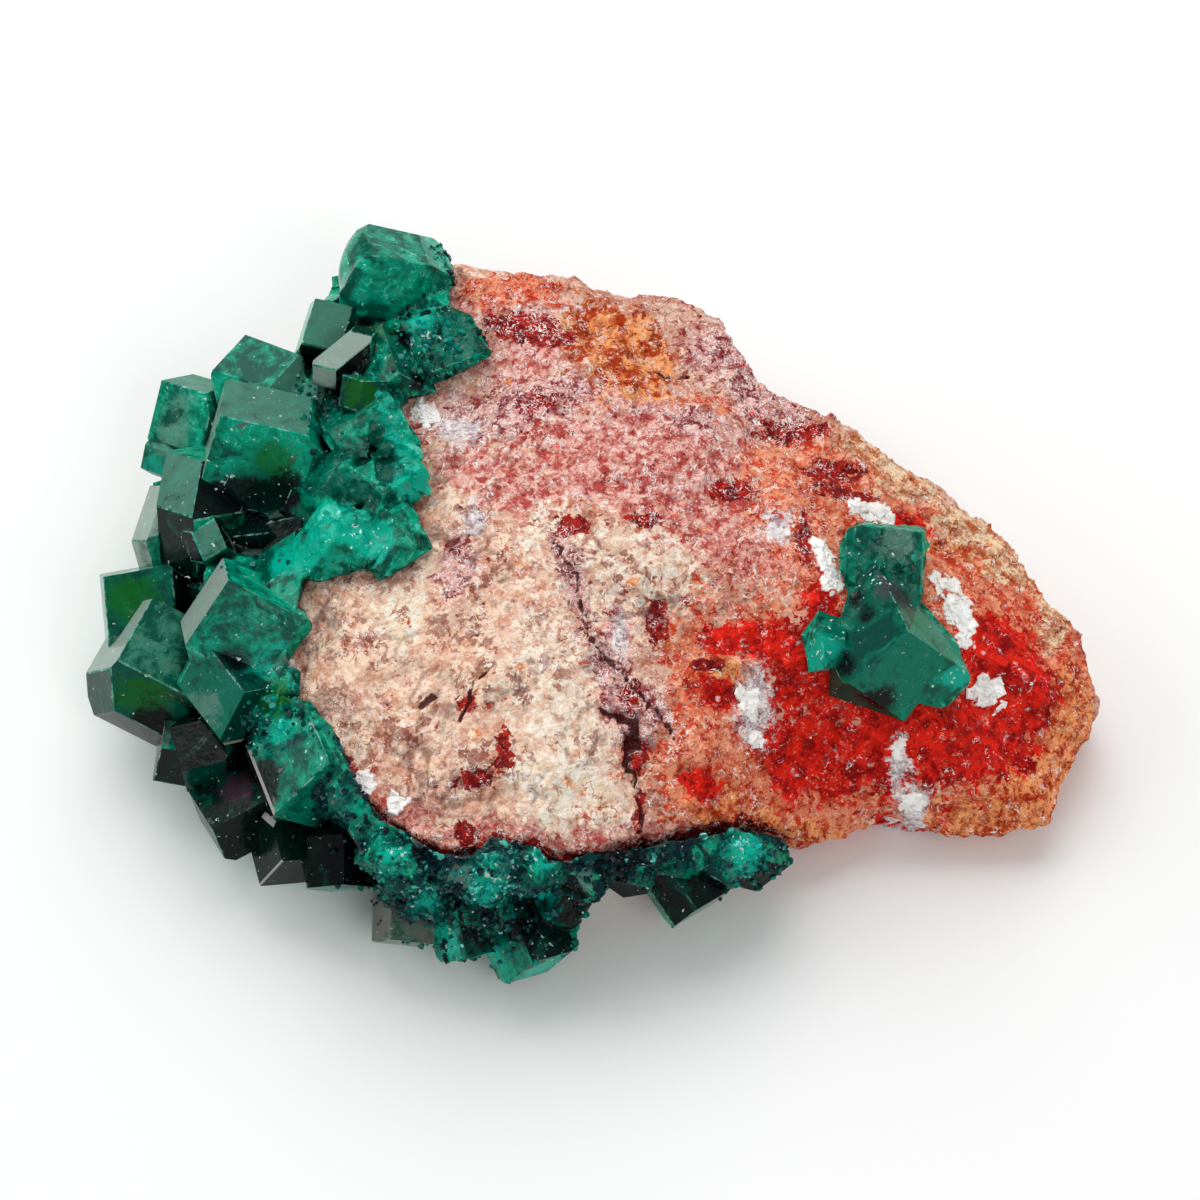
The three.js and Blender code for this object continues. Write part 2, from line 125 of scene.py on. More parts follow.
def applied(piece):  # the piece with its modifiers made into plain mesh
    bpy.context.view_layer.update()
    evaluated = piece.evaluated_get(bpy.context.evaluated_depsgraph_get())
    mesh = bpy.data.meshes.new_from_object(evaluated)
    piece.modifiers.clear()
    old = piece.data
    piece.data = mesh
    mesh.name = old.name
    bpy.data.meshes.remove(old)
    return piece


def pointsOf(mesh):
    co = np.empty(len(mesh.vertices) * 3, np.float32)
    mesh.vertices.foreach_get("co", co)
    return co.reshape(-1, 3).astype(float)


def setPoints(mesh, spots):
    mesh.vertices.foreach_set("co", spots.astype(np.float32).ravel())
    mesh.update()


def storeOnPoints(mesh, name, values):
    mesh.attributes.new(name, "FLOAT", "POINT").data.foreach_set("value", np.asarray(values, np.float32))


def patchWeight(x, y, patches):  # 1 in the middle of a patch, fading out around it; neighbours flow together
    bare = np.ones_like(x)
    for cx, cy, rx, ry in patches:
        bare *= 1 - np.exp(-((x - cx) / rx) ** 2 - ((y - cy) / ry) ** 2)
    return 1 - bare


def lineDistance(x, y, path):  # in mm, from each point to the nearest stretch of a path
    nearest = np.full_like(x, 1e3)
    for (ax, ay), (bx, by) in zip(path, path[1:]):
        dx, dy = bx - ax, by - ay
        along = np.clip(((x - ax) * dx + (y - ay) * dy) / (dx * dx + dy * dy), 0, 1)
        nearest = np.minimum(nearest, np.hypot(x - ax - along * dx, y - ay - along * dy))
    return nearest


def noiseOn(spots, size, octaves=1, shift=0.0):  # smooth noise, about -1 to 1, with lumps of that size in mm
    move = Vector((shift, shift * 0.7, -shift))
    if octaves == 1:
        return np.array([noise.noise(Vector(p) / size + move) for p in spots])
    return np.array([noise.fractal(Vector(p) / size + move, 1.0, 2.1, octaves) for p in spots])


def facetsOn(spots, size, shift=0.0):  # blocky grains with flat tilted tops: heights of about -0.7 to 0.7, own tones
    move = Vector((shift, -shift * 0.4, shift))
    heights = []
    for p in spots:
        here = Vector(p) / size + move
        seed = noise.voronoi(here)[1][0]
        chance = noise.cell_vector(seed * 31)
        heights.append((chance[0] * 0.8 - 0.4 + (here - seed).dot(chance - Vector((0.5, 0.5, 0.5))), chance[2]))
    return np.array(heights).T


def grainsOn(spots, size, shift=0.0):  # 1 in the middle of each grain, 0 in the gaps between them
    move = Vector((shift, -shift, shift * 0.5))
    found = [noise.voronoi(Vector(p) / size + move)[0] for p in spots]
    return np.clip(np.array([d[1] - d[0] for d in found]) * 1.6, 0, 1)


# Where each stain lies on the rock, in plan: x, y, reach along x, reach along y, in mm
rockPatches = {
    "cream": [
        (-14, -8, 9, 7), (-3, -17, 8, 5), (-9.5, -4, 5, 4), (-9, -14, 8, 5), (-9, 4, 4, 4), (2, -3, 5, 4),
        (-9, 23.5, 2.5, 1.5)],
    "beige": [(-3, -12, 4, 6), (-1.5, -19, 4, 3), (-3.4, 1.5, 2, 4), (4, -2, 5, 4), (14, -18.4, 3, 1.6)],
    "pale": [(-1.5, -18.6, 3, 2.6), (-13.4, -6, 2, 2)],
    "rose": [
        (-8.6, 5.6, 2.6, 2.2), (-5, 15, 4, 2.2), (-5.4, 3.4, 2.2, 1.8), (4, 5, 8, 4), (1, 9.5, 6, 3), (11, 1, 5, 5),
        (-6, 21, 4, 2), (11, 6, 5, 4), (-4.5, 7, 2, 2)],
    "salmon": [
        (33, -7, 1.5, 3), (14, 8, 4, 4), (21, -4, 11, 8), (7.4, -9, 3, 3.6), (12, -16, 8, 4), (30, -12, 6, 8),
        (18, 4, 7, 4), (8, 11, 3, 1.6), (-6, 21.5, 3, 1.4), (28, 0, 4, 3), (7, -16, 3, 3)],
    "mauve": [
        (-8.4, 10, 3.6, 2.4), (-3.8, 11.6, 4.5, 2.2), (9, 16.8, 3.6, 3), (12.6, 12.6, 3, 2.4), (7, 9.5, 3, 1.6),
        (-9.4, -2.4, 1.4, 2.6), (1.2, -9, 1.3, 4), (10.8, -11, 2, 2.4), (2.8, -13.6, 1.5, 1.6),
        (-3.6, 18.4, 2.4, 1.6)],
    "orange": [(0.6, 17.8, 3.6, 2.8), (1.6, 15.6, 3, 2.6), (3.2, 13, 2.4, 3), (26, 3, 3, 1.6), (8.6, -9.6, 1.6, 1.6)],
    "tan": [(13, -18.6, 6, 1.8), (26.6, -16.8, 6, 2), (33, -9.4, 2, 4), (30.6, -14, 3, 3), (20, -19, 4, 1.6)],
    "ochre": [(19.6, 9.4, 3, 1.3), (22.6, 6.8, 3, 1.4), (26, 4, 3, 1.3), (28.8, 1.4, 2.2, 1.4), (31.8, -2, 1.2, 2.6)],
    "crimson": [
        (-5.4, 18.2, 2.8, 1.4), (-2.8, 16.8, 1.6, 1), (-4, 11, 1.8, 1), (13.6, 10.4, 2.6, 1), (16.6, 7.4, 2, 1),
        (-1.4, 0.6, 1.3, 0.7), (3.4, 1.2, 1.2, 0.7), (9.6, 4, 1.6, 0.9), (17.4, 5.4, 2.4, 0.9),
        (-6.2, -16.2, 0.6, 1.5), (-8.2, -17.8, 1.4, 0.7), (-8.6, -21.2, 0.8, 0.9), (4.2, -6, 0.7, 1.6),
        (2.4, -11.6, 0.7, 1.2), (2.6, -15.4, 0.6, 1.4), (3, -19, 0.4, 1.4), (-8.8, -13, 0.8, 1),
        (7.4, -8.8, 1.6, 0.4), (10.2, -18.8, 1.3, 1), (14.4, 0.4, 0.7, 2.2)],
    "deepRed": [
        (20, -12.5, 6, 3), (27.6, -6, 3, 4), (14, -8.4, 2.6, 2.4), (26, -12, 3.6, 2.6), (21.4, 3.8, 1.6, 1),
        (9.8, -7, 3, 1.2), (29.6, -8, 2, 3), (13.6, -13.6, 1.8, 2.4), (7, -17, 1.6, 1), (8.4, -10.6, 1.6, 1.2),
        (15.6, -4.6, 1.4, 2.4)],
    "frost": [
        (10.8, -11, 1, 2.4), (20.6, -13.6, 0.6, 1.3), (21.8, -15.8, 0.8, 0.8), (1.6, -7.4, 0.5, 2.2),
        (-9.6, 9.4, 1.6, 1.6), (-8.4, 1.4, 0.8, 1.2), (12.6, 1.4, 1, 1.4)],
}
hairlines = [
    [(-2.7, -0.5), (-1.2, -4.5), (-0.7, -7), (1.2, -9.3), (3.7, -12), (5.3, -14)],
    [(3.7, -12), (2.7, -13.8), (2.4, -16), (3, -18.6), (3.6, -22)],
    [(2.7, -13.8), (0.2, -12.6)],
    [(-7.6, -10.6), (-8.6, -12.6), (-9.4, -14)],
    [(-10.8, -12), (-12, -12.8)],
    [(4.4, 15), (5.4, 14.4), (6.6, 15)],
    [(-14.2, -20.7), (-10.2, -22.8), (-3.2, -23.4), (0.3, -22.5), (5.8, -20.9), (9.8, -19.7)],
]
calcitePatches = [
    (19, 4.2, 1.7, 1), (16, -2, 0.8, 1.5), (15.4, -0.2, 0.6, 1), (24, -1.2, 1, 0.9), (24.8, -3, 0.9, 1.2),
    (25.6, -5, 0.8, 1.3), (27, -8.6, 1.1, 1.1), (20.5, -12.8, 0.35, 1.1), (21.8, -15.4, 0.7, 0.5),
    (10.4, -10.4, 0.7, 1), (10.8, -12.6, 0.4, 0.8), (-20.9, -9.6, 0.5, 1.8), (-18, -14.6, 0.9, 1),
    (-15.6, -17.4, 1, 0.8), (-13, -19, 0.9, 0.7), (-21.2, -7, 0.5, 1.6), (-12, 10.6, 1, 1.7), (-13, 5, 0.5, 1.5),
]
rockLook = {
    "meshStep": 0.29,       # mm between the rock mesh's points
    "lumps": (1.9, 0.32),   # size and depth of the sugary lumps, mm
    "grains": (0.8, 0.22),
    "chunks": (1.3, 0.34),  # the same for its blocky breaks
    "swells": (3.4, 0.3),
    "wander": (1.5, 0.5),   # size and reach of the bends in a crack, mm
    "crack": (0.3, 0.45),   # how far its slope reaches to each side, and its depth, mm
    "border": 0.9,          # reach of the whitish border along the long crack, mm
    "lowered": 0.12,        # how far the whole surface lies under the CAD's, mm
    "stainStrength": 1.2,
}


def makeRock():
    look = rockLook
    rock = pieceFrom(mergedCopy("matrix"), "rock")
    remesh = rock.modifiers.new("evenMesh", "REMESH")
    remesh.mode = "VOXEL"
    remesh.voxel_size = look["meshStep"] * mm
    applied(rock)
    mesh = rock.data
    spots = pointsOf(mesh) / mm
    normals = np.array([v.normal for v in mesh.vertices])
    x, y, z = spots.T
    weights = {name: patchWeight(x, y, patches) for name, patches in rockPatches.items()}
    cream, pale, deepRed = weights["cream"], weights["pale"], weights["deepRed"]
    (lumpSize, lumpDepth), (grainSize, grainDepth) = look["lumps"], look["grains"]
    (chunkSize, chunkDepth), (swellSize, swellDepth) = look["chunks"], look["swells"]
    lumps = grainsOn(spots, lumpSize)
    grains = grainsOn(spots, grainSize, 5)
    loose = np.clip(0.5 + 1.1 * noiseOn(spots, 4.5, 2, 31), 0, 1)
    sugar = np.clip(0.3 + cream - 0.8 * pale, 0, 1) * loose
    push = swellDepth * noiseOn(spots, swellSize, 4, 11) + lumpDepth * (np.sqrt(lumps) - 1) * sugar
    push += grainDepth * (grains - 1) * (1 - 0.4 * cream)
    push += chunkDepth * facetsOn(spots, chunkSize, 21)[0] * (1 - 0.8 * cream)
    bendSize, bendReach = look["wander"]
    strayX, strayY = (at + bendReach * noiseOn(spots, bendSize, 3, shift) for at, shift in ((x, 50), (y, 60)))
    distances = [lineDistance(strayX, strayY, path) for path in hairlines]
    cracks = np.where(z > 4, np.min(distances, axis=0), 9)
    slope, depth = look["crack"]
    push -= depth * np.exp(-(cracks / slope) ** 2)
    # Rose and a thin dark crimson line where the front crystals meet the rock, and whitish borders along the long
    # crack
    crystals = BVHTree.FromBMesh(mergedCopy("dioptase_cluster"))
    contact = np.array([crystals.find_nearest(Vector(p) * mm)[3] for p in spots]) / mm
    atFront = np.clip((-14 - y) / 3, 0, 1)
    border = np.exp(-(distances[0] / look["border"]) ** 2)
    for name, weight in (("rose", 0.7 * np.exp(-(contact / 1.8) ** 2) * atFront),
                         ("crimson", np.exp(-((contact - 0.1) / 0.3) ** 2) * atFront), ("mauve", 0.6 * border)):
        weights[name] = np.maximum(weights[name], weight)
    push -= look["lowered"]
    spots += normals * push[:, None]
    low, high = (np.array(corner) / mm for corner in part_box("matrix"))
    setPoints(mesh, np.clip(spots, low, high) * mm)
    crusts = patchWeight(x, y, calcitePatches) * (normals[:, 2] > 0.2)
    flaky = np.clip(1.9 * crusts + 1.9 * noiseOn(spots, 0.9, 3, 70) - 0.7, 0, 1)
    gappy = cream + 0.15 * weights["beige"] + 0.5 * weights["orange"] - pale
    flecked = 0.25 + 0.9 * weights["mauve"] + 0.3 * weights["rose"] + 0.6 * weights["frost"] - deepRed
    shares = {
        # painted shade: how far down in the hollows between lumps and grains each spot lies
        "hollow": (1 - lumps) ** 3 * sugar + (1 - grains) ** 4 * 0.5,
        "speckled": 1 - (0.75 * cream + 0.95 * deepRed),
        "gappy": gappy,
        "flecked": flecked + 0.5 * border,
        "calcite": flaky * (crusts > 0.3),
    }
    for name, values in shares.items():
        storeOnPoints(mesh, name, np.clip(values, 0, 1))
    storeOnPoints(mesh, "crackDistance", np.minimum(cracks, 2))
    for name, weight in weights.items():
        storeOnPoints(mesh, name, weight * look["stainStrength"])
    mesh.shade_smooth()
    print("rock:", len(mesh.polygons), "faces")
    return rock


# Calc-silicate rock, broken by hammer: dull, sugary grains in many stains, dark in the joints between them,
# with tiny faces that glint. Stains in the order they cover each other; lobes and mottle are sizes in mm
rockStains = {
    "cream": {"tones": ("#d89c80", "#fde0c6"), "lobes": 3.4, "mottle": 1.7},
    "beige": {"tones": ("#e4b89c", "#fff0da"), "lobes": 3.0, "mottle": 0.8},
    "pale": {"tones": ("#f4d6b4", "#fff6e4"), "lobes": 2.2, "mottle": 0.8},
    "rose": {"tones": ("#b84842", "#eeb0a0"), "lobes": 3.0, "mottle": 0.8},
    "salmon": {"tones": ("#cc3a1c", "#f49c74"), "lobes": 3.2, "mottle": 0.9},
    "mauve": {"tones": ("#8c2c36", "#ecb6aa"), "lobes": 2.4, "mottle": 0.8},
    "orange": {"tones": ("#b43a0a", "#f8a666"), "lobes": 2.8, "mottle": 1.3, "chunky": 0.4},
    "tan": {"tones": ("#b83406", "#ffa568"), "lobes": 2.8, "mottle": 1.0, "chunky": 0.15},
    "ochre": {"tones": ("#c4693c", "#f8d8ae"), "lobes": 1.6, "mottle": 0.5, "streaked": True},
    "crimson": {"tones": ("#6a0410", "#b42417"), "lobes": 1.1, "mottle": 0.7},
    "deepRed": {"tones": ("#940203", "#f02410"), "lobes": 1.8, "mottle": 1.2},
    "frost": {"tones": ("#b79aa2", "#f6efec"), "lobes": 1.3, "mottle": 0.4},
}
rockColours = {
    "ground": ("#c27a64", "#edc0a8"),
    # painted shade, laid in the hollows between lumps and along the cracks
    "hollowShade": "#420a0e",
    "joint": "#a8604c",
    # painted shade of the small pits, laid on by multiplying
    "lostGrain": "#8e3a30",
    "fleck": "#fbf3ee",
    "darkGrain": "#a4584a",
    "crust": "#fffdf8",
}
rockGrain = {
    "cell": 0.46,     # mm across a grain
    "wander": 0.34,   # how far its outline strays, mm
    "ragged": 2.1,    # how far a stain's rim strays
    "byGrain": 0.55,  # how much each grain goes its own way there
    "softness": 0.12,
    "share": (0.38, 0.6),  # where in the mottle a stain's dark tone ends and its light one begins
}
# Real grit is finer than this; it is as coarse as it needs to be to show
rockNoises = {
    "wander": (0.6, 3, 0.5, 0), "broad": (2.2, 7, 0.66, 0), "crowded": (3, 3, 0.5, 0), "dirty": (1.7, 4, 0.5, 0),
    "darkSpecks": (0.3, 3, 0.5, 0), "paleSpecks": (0.24, 2, 0.5, 0), "curls": (0.62, 2, 0.5, 1.4),
    "breaks": (0.8, 3, 0.5, 0), "grit": (0.3, 4, 0.5, 0),
}
rockCells = {"grain": rockGrain["cell"], "chunk": 1.3, "lost": 0.66}  # mm across


def tiltedBlocks(add, place, size):  # a relief of blocks with flat tilted tops, and the cells they stand on
    cells = add("ShaderNodeTexVoronoi", {"Vector": place, "Scale": perMm(size)})
    scaled = add("ShaderNodeVectorMath", {0: place, "Scale": perMm(size)}, operation="SCALE")
    away = add("ShaderNodeVectorMath", [scaled, cells.outputs["Position"]], operation="SUBTRACT")
    tilt = add("ShaderNodeVectorMath", [cells.outputs["Color"], (0.5, 0.5, 0.5)], operation="SUBTRACT")
    return add("ShaderNodeVectorMath", [away, tilt], operation="DOT_PRODUCT"), cells


def rockMaterial():
    material, add, place, noises, stored = newMaterial("BrokenGranularRock", rockNoises, (
        "gappy", "speckled", "flecked", "calcite", "hollow", "crackDistance", *rockPatches))
    offset = add("ShaderNodeVectorMath", [noises["wander"].outputs["Color"], (0.5, 0.5, 0.5)], operation="SUBTRACT")
    reached = add("ShaderNodeVectorMath", {0: offset, "Scale": 4 * rockGrain["wander"] * mm}, operation="SCALE")
    bent = add("ShaderNodeVectorMath", [place, reached], operation="ADD")
    chances = {}
    for name, size in rockCells.items():
        cells = add("ShaderNodeTexVoronoi", {"Vector": bent, "Scale": perMm(size)})
        chances[name] = add("ShaderNodeSeparateColor", [cells.outputs["Color"]]).outputs
    ownTone = add("ShaderNodeMath", [chances["grain"][0], 0.2, -0.1], operation="MULTIPLY_ADD")
    ownWay = add("ShaderNodeMath", [chances["grain"][1], rockGrain["byGrain"]], operation="MULTIPLY")
    darkEnd, lightEnd = rockGrain["share"]
    dark, light = map(linearColour, rockColours["ground"])
    broadTone = add("ShaderNodeMath", [noises["broad"], ownTone], operation="ADD")
    broadShare = add("ShaderNodeMapRange", [broadTone, darkEnd, lightEnd])
    colour = add("ShaderNodeMix", {"Factor": broadShare, "A": dark, "B": light}, data_type="RGBA")
    # The rim of the rock is drawn out in streaks that run along it
    along = add("ShaderNodeMapping", {
        "Vector": place, "Rotation": (0, 0, math.radians(-43)), "Scale": (3.4 * mm, 0.45 * mm, 0.45 * mm)},
        vector_type="TEXTURE")
    ragged, soft = rockGrain["ragged"], rockGrain["softness"]
    middle = 0.5 + 0.5 * ragged + 0.5 * rockGrain["byGrain"]
    for name, stain in rockStains.items():
        lobes = add("ShaderNodeTexNoise", {
            "Vector": place, "Scale": perMm(stain["lobes"]), "Detail": 7.0, "Roughness": 0.68})
        own = add("ShaderNodeMath", [stored[name], ownWay], operation="ADD")
        reach = add("ShaderNodeMath", [lobes, ragged, own], operation="MULTIPLY_ADD")
        cover = add("ShaderNodeMapRange", [reach, middle - soft, middle + soft], interpolation_type="SMOOTHSTEP")
        streaked = stain.get("streaked")
        mottle = add("ShaderNodeTexNoise", {
            "Vector": along if streaked else place, "Scale": 1.0 if streaked else perMm(stain["mottle"]),
            "Detail": 5.0, "Roughness": 0.7})
        chunky = stain.get("chunky", 0.08)
        tinted = add("ShaderNodeMath", [chances["chunk"][0], chunky, ownTone], operation="MULTIPLY_ADD")
        toned = add("ShaderNodeMath", [mottle, tinted], operation="ADD")
        share = add("ShaderNodeMapRange", [toned, darkEnd + chunky / 2, lightEnd + chunky / 2])
        dark, light = map(linearColour, stain["tones"])
        tone = add("ShaderNodeMix", {"Factor": share, "A": dark, "B": light}, data_type="RGBA")
        colour = add("ShaderNodeMix", {"Factor": cover, "A": colour, "B": tone}, data_type="RGBA")

    # Small pits where a grain has dropped out, darkened as painted shade; dirt in the joints, thick in some places
    # and missing in others; dark and pale specks; pale curled flecks, which are short stretches along one height of a
    # noise
    lostGrain, lostCrumb, often, crackWidth = (
        add("ShaderNodeMath", [one, times, other], operation="MULTIPLY_ADD")
        for one, times, other in (
            (noises["crowded"], 2.6, chances["lost"][2]), (noises["crowded"], 1.6, chances["grain"][2]),
            (stored["flecked"], 0.22, noises["breaks"]), (noises["dirty"], 0.6, stored["crackDistance"])))
    height = add("ShaderNodeMath", [noises["curls"], 0.5], operation="SUBTRACT")
    away = add("ShaderNodeMath", [height], operation="ABSOLUTE")
    facets, blocks = tiltedBlocks(add, bent, 0.5)
    glossy = add("ShaderNodeSeparateColor", [blocks.outputs["Color"]]).outputs[1]
    ramps = {name: add("ShaderNodeMapRange", values) for name, *values in (
            ("lostGrain", lostGrain, 2.24, 2.3, 0, 0.75), ("lostCrumb", lostCrumb, 1.72, 1.76, 0, 0.7),
            ("dirt", noises["dirty"], 0.54, 0.74, 0, 0.12), ("darkSpecks", noises["darkSpecks"], 0.56, 0.7, 0, 0.85),
            ("paleSpecks", noises["paleSpecks"], 0.62, 0.72, 0, 0.7), ("curls", away, 0.012, 0.03, 1, 0),
            ("breaks", often, 0.6, 0.68, 0, 1), ("crust", stored["calcite"], 0.1, 0.35, 0, 1),
            ("hollow", stored["hollow"], 0.45, 0.95, 0, 0.55), ("crack", crackWidth, 0.42, 0.51, 0.95, 0),
            ("roughness", glossy, 0.82, 0.9, 0.78, 0.25))}
    joints = add("ShaderNodeTexVoronoi", {"Vector": bent, "Scale": perMm(2 * rockGrain["cell"])},
                 feature="DISTANCE_TO_EDGE")
    dirtGap = add("ShaderNodeMath", [ramps["dirt"], joints], operation="SUBTRACT")
    dirtShare = add("ShaderNodeMapRange", [dirtGap, 0, 0.05, 0, 0.85])
    lost = add("ShaderNodeMath", [ramps["lostGrain"], ramps["lostCrumb"]], operation="MAXIMUM")
    for one, other, joined, finish, blend in (  # two shares, how they join, and the colour that they lay on
            (lost, stored["gappy"], "MULTIPLY", "lostGrain", "MULTIPLY"),
            (dirtShare, 1.0, "MULTIPLY", "joint", "MULTIPLY"),
            (ramps["darkSpecks"], stored["speckled"], "MULTIPLY", "darkGrain", "MULTIPLY"),
            (ramps["curls"], ramps["breaks"], "MULTIPLY", "fleck", "MIX"),
            (ramps["paleSpecks"], stored["speckled"], "MULTIPLY", "fleck", "MIX"),
            (ramps["crust"], 1.0, "MULTIPLY", "crust", "MIX"),
            # painted shade in the hollows and along the cracks
            (ramps["hollow"], ramps["crack"], "MAXIMUM", "hollowShade", "MIX")):
        share = add("ShaderNodeMath", [one, other], operation=joined)
        colour = add("ShaderNodeMix", {"Factor": share, "A": colour, "B": linearColour(rockColours[finish])},
                     data_type="RGBA", blend_type=blend)
    relief = add("ShaderNodeMath", [noises["grit"], 0.9, facets], operation="MULTIPLY_ADD")
    bump = add("ShaderNodeBump", {"Strength": 0.75, "Distance": 0.25 * mm, "Height": relief})
    surface = add("ShaderNodeBsdfPrincipled", {
        "Base Color": colour, "Roughness": ramps["roughness"], "Normal": bump, "IOR": 1.55,
        "Specular IOR Level": 0.12})
    add("ShaderNodeOutputMaterial", {"Surface": surface})
    return material


# Where the crystals change: the middle of a zone, in mm, and its reach
crystalZones = {
    "teal": [
        (-18, 0.5, 16.5, 2), (-15, -1, 16.5, 1.6), (-19, -1.5, 15.5, 1.6), (-12.5, 3, 16.5, 1.5),
        (-13, 6.5, 17, 1.5), (-14.5, 9, 16.5, 1.5), (-12.5, 17.5, 15.5, 1.5), (-22, -9.5, 15, 1.6),
        (-21.5, -1, 14, 1.8), (-21.5, -13.5, 13, 1.3), (-7, -24.5, 11.5, 1.8), (-11.5, -24.5, 9.5, 1.4),
        (-10, -26, 5.5, 1.3), (-7.5, -27, 4.5, 1.3), (-3.5, -24, 8, 1.2), (-13.5, -22.5, 12.5, 1.4),
        (-4, -27.5, 4.5, 1.5), (10, -20.5, 8.5, 1.6), (1.5, -22.5, 9, 1), (-3.5, -23, 12.5, 1), (15, -8.5, 14, 1.6),
        (24.5, -9.5, 13, 1.5), (20.4, -8.6, 14.6, 0.9), (-31.5, 9.5, 9, 1.2), (-25.5, 4.5, 15, 1.2)],
    "leaf": [
        (-22.4, 5.8, 15.9, 1.5), (-31, -9.5, 10, 1.9), (-15, 16.5, 15.5, 1.6), (-32, -2.5, 11.5, 2),
        (-21.5, -11.5, 13, 1.6), (-16.5, 10, 18, 1.4), (-33.5, -2, 9, 1.6)],
    # near-black painted shade in the gaps between crystals
    "murk": [
        (-25.4, 4.4, 14, 1.5), (-23.4, 4.2, 13.8, 1.8), (-21.4, 4.4, 14.1, 1.5), (-30.7, -11.2, 8, 2.2),
        (-22.5, -16.5, 11, 1.8), (-14, 16.4, 15, 1.3), (-19.5, -20, 10, 1.4), (-24.5, -9, 14, 1.2),
        (-16.5, -3.5, 14.5, 1), (18, -6, 15.5, 0.8), (17.4, -4.4, 15, 0.8), (17, -9.5, 14, 1.2),
        (19, -11.5, 12.5, 1.4), (-12.5, 12.8, 15.5, 1), (-6, -25.5, 7.5, 1.8), (-2.5, -25.5, 9, 1.5),
        (1, -23, 10, 1.4), (-13, -24, 9.5, 1.4)],
    "spark": [
        (-16, -0.5, 16.5, 1), (19, -3, 15.5, 1.2), (-7, -24.5, 11.5, 1.7), (-5.5, -24, 11.5, 1.2),
        (-11.5, -24.5, 9.5, 1.2), (-13.5, -22.5, 12, 1.2), (-10, -26, 5.5, 1), (-4, -22.8, 12.5, 1),
        (9.5, -20.5, 9, 1.2), (-25.6, 5.2, 15.2, 1), (-14, 9, 16.5, 1.2), (-17.5, 1.5, 17, 1), (-22, -9.5, 15, 1.2),
        (-23.5, -13.5, 12, 1), (15, -8.5, 14, 1.2), (24.5, -9.5, 13, 0.9), (-12.5, 15.5, 15.5, 1.3),
        (-3.5, -26.5, 6, 1)],
    # mauve-brown patches; on the pair a painted reflection of the red rock
    "rust": [(20.5, -4.5, 15.5, 1.5), (4, -22.5, 8, 1.2), (-24.5, -15, 8, 1.4)],
    # patches painted grey-green as a painted sheen
    "haze": [
        (20.5, -0.5, 15.5, 1.4), (-27, -12, 12.5, 1.7), (-30.5, 11, 11, 1.7), (-29, 13.5, 11.5, 1.4),
        (-20.5, 23, 15, 1.6), (-13, 25.5, 17, 1.3), (-9, -24, 11.5, 0.9), (-0.5, -24, 11.5, 0.9)],
    "druse": [
        (-14, 4, 16, 4), (-13, 8, 16, 3), (-11, 16, 15, 2.4), (-17.5, 0, 15, 3.2), (-8, -23, 10, 6),
        (2, -22.5, 10, 4.6), (10.5, -20.5, 8, 3), (-13, -23, 11, 3), (20.5, -1.5, 15, 3)],
    # painted shade over the front band of crystals, which lies under the rock's rim
    "navy": [(-8, -23.5, 9.5, 6), (2, -22.5, 10, 4.6), (9, -21, 8, 3.4), (-13, -23.5, 8, 4), (-17, -20, 9, 3.4)],
    "coarse": [(-14, 4, 16, 5), (-13, 8, 16, 4), (-17.5, -1, 15, 4.4), (-12, -1, 15, 4)],
    "smooth": [
        (-21.5, 1.5, 13, 2.6), (5, -23, 6, 3), (7, -23, 7, 2), (2, -23, 8, 1.4), (-3.5, -27, 4.5, 2.4),
        (19, -9.5, 14, 4.6), (-23.5, -6, 14, 4.4), (-20, -16, 12, 2.6), (-13.5, -24.5, 5.5, 2)],
}
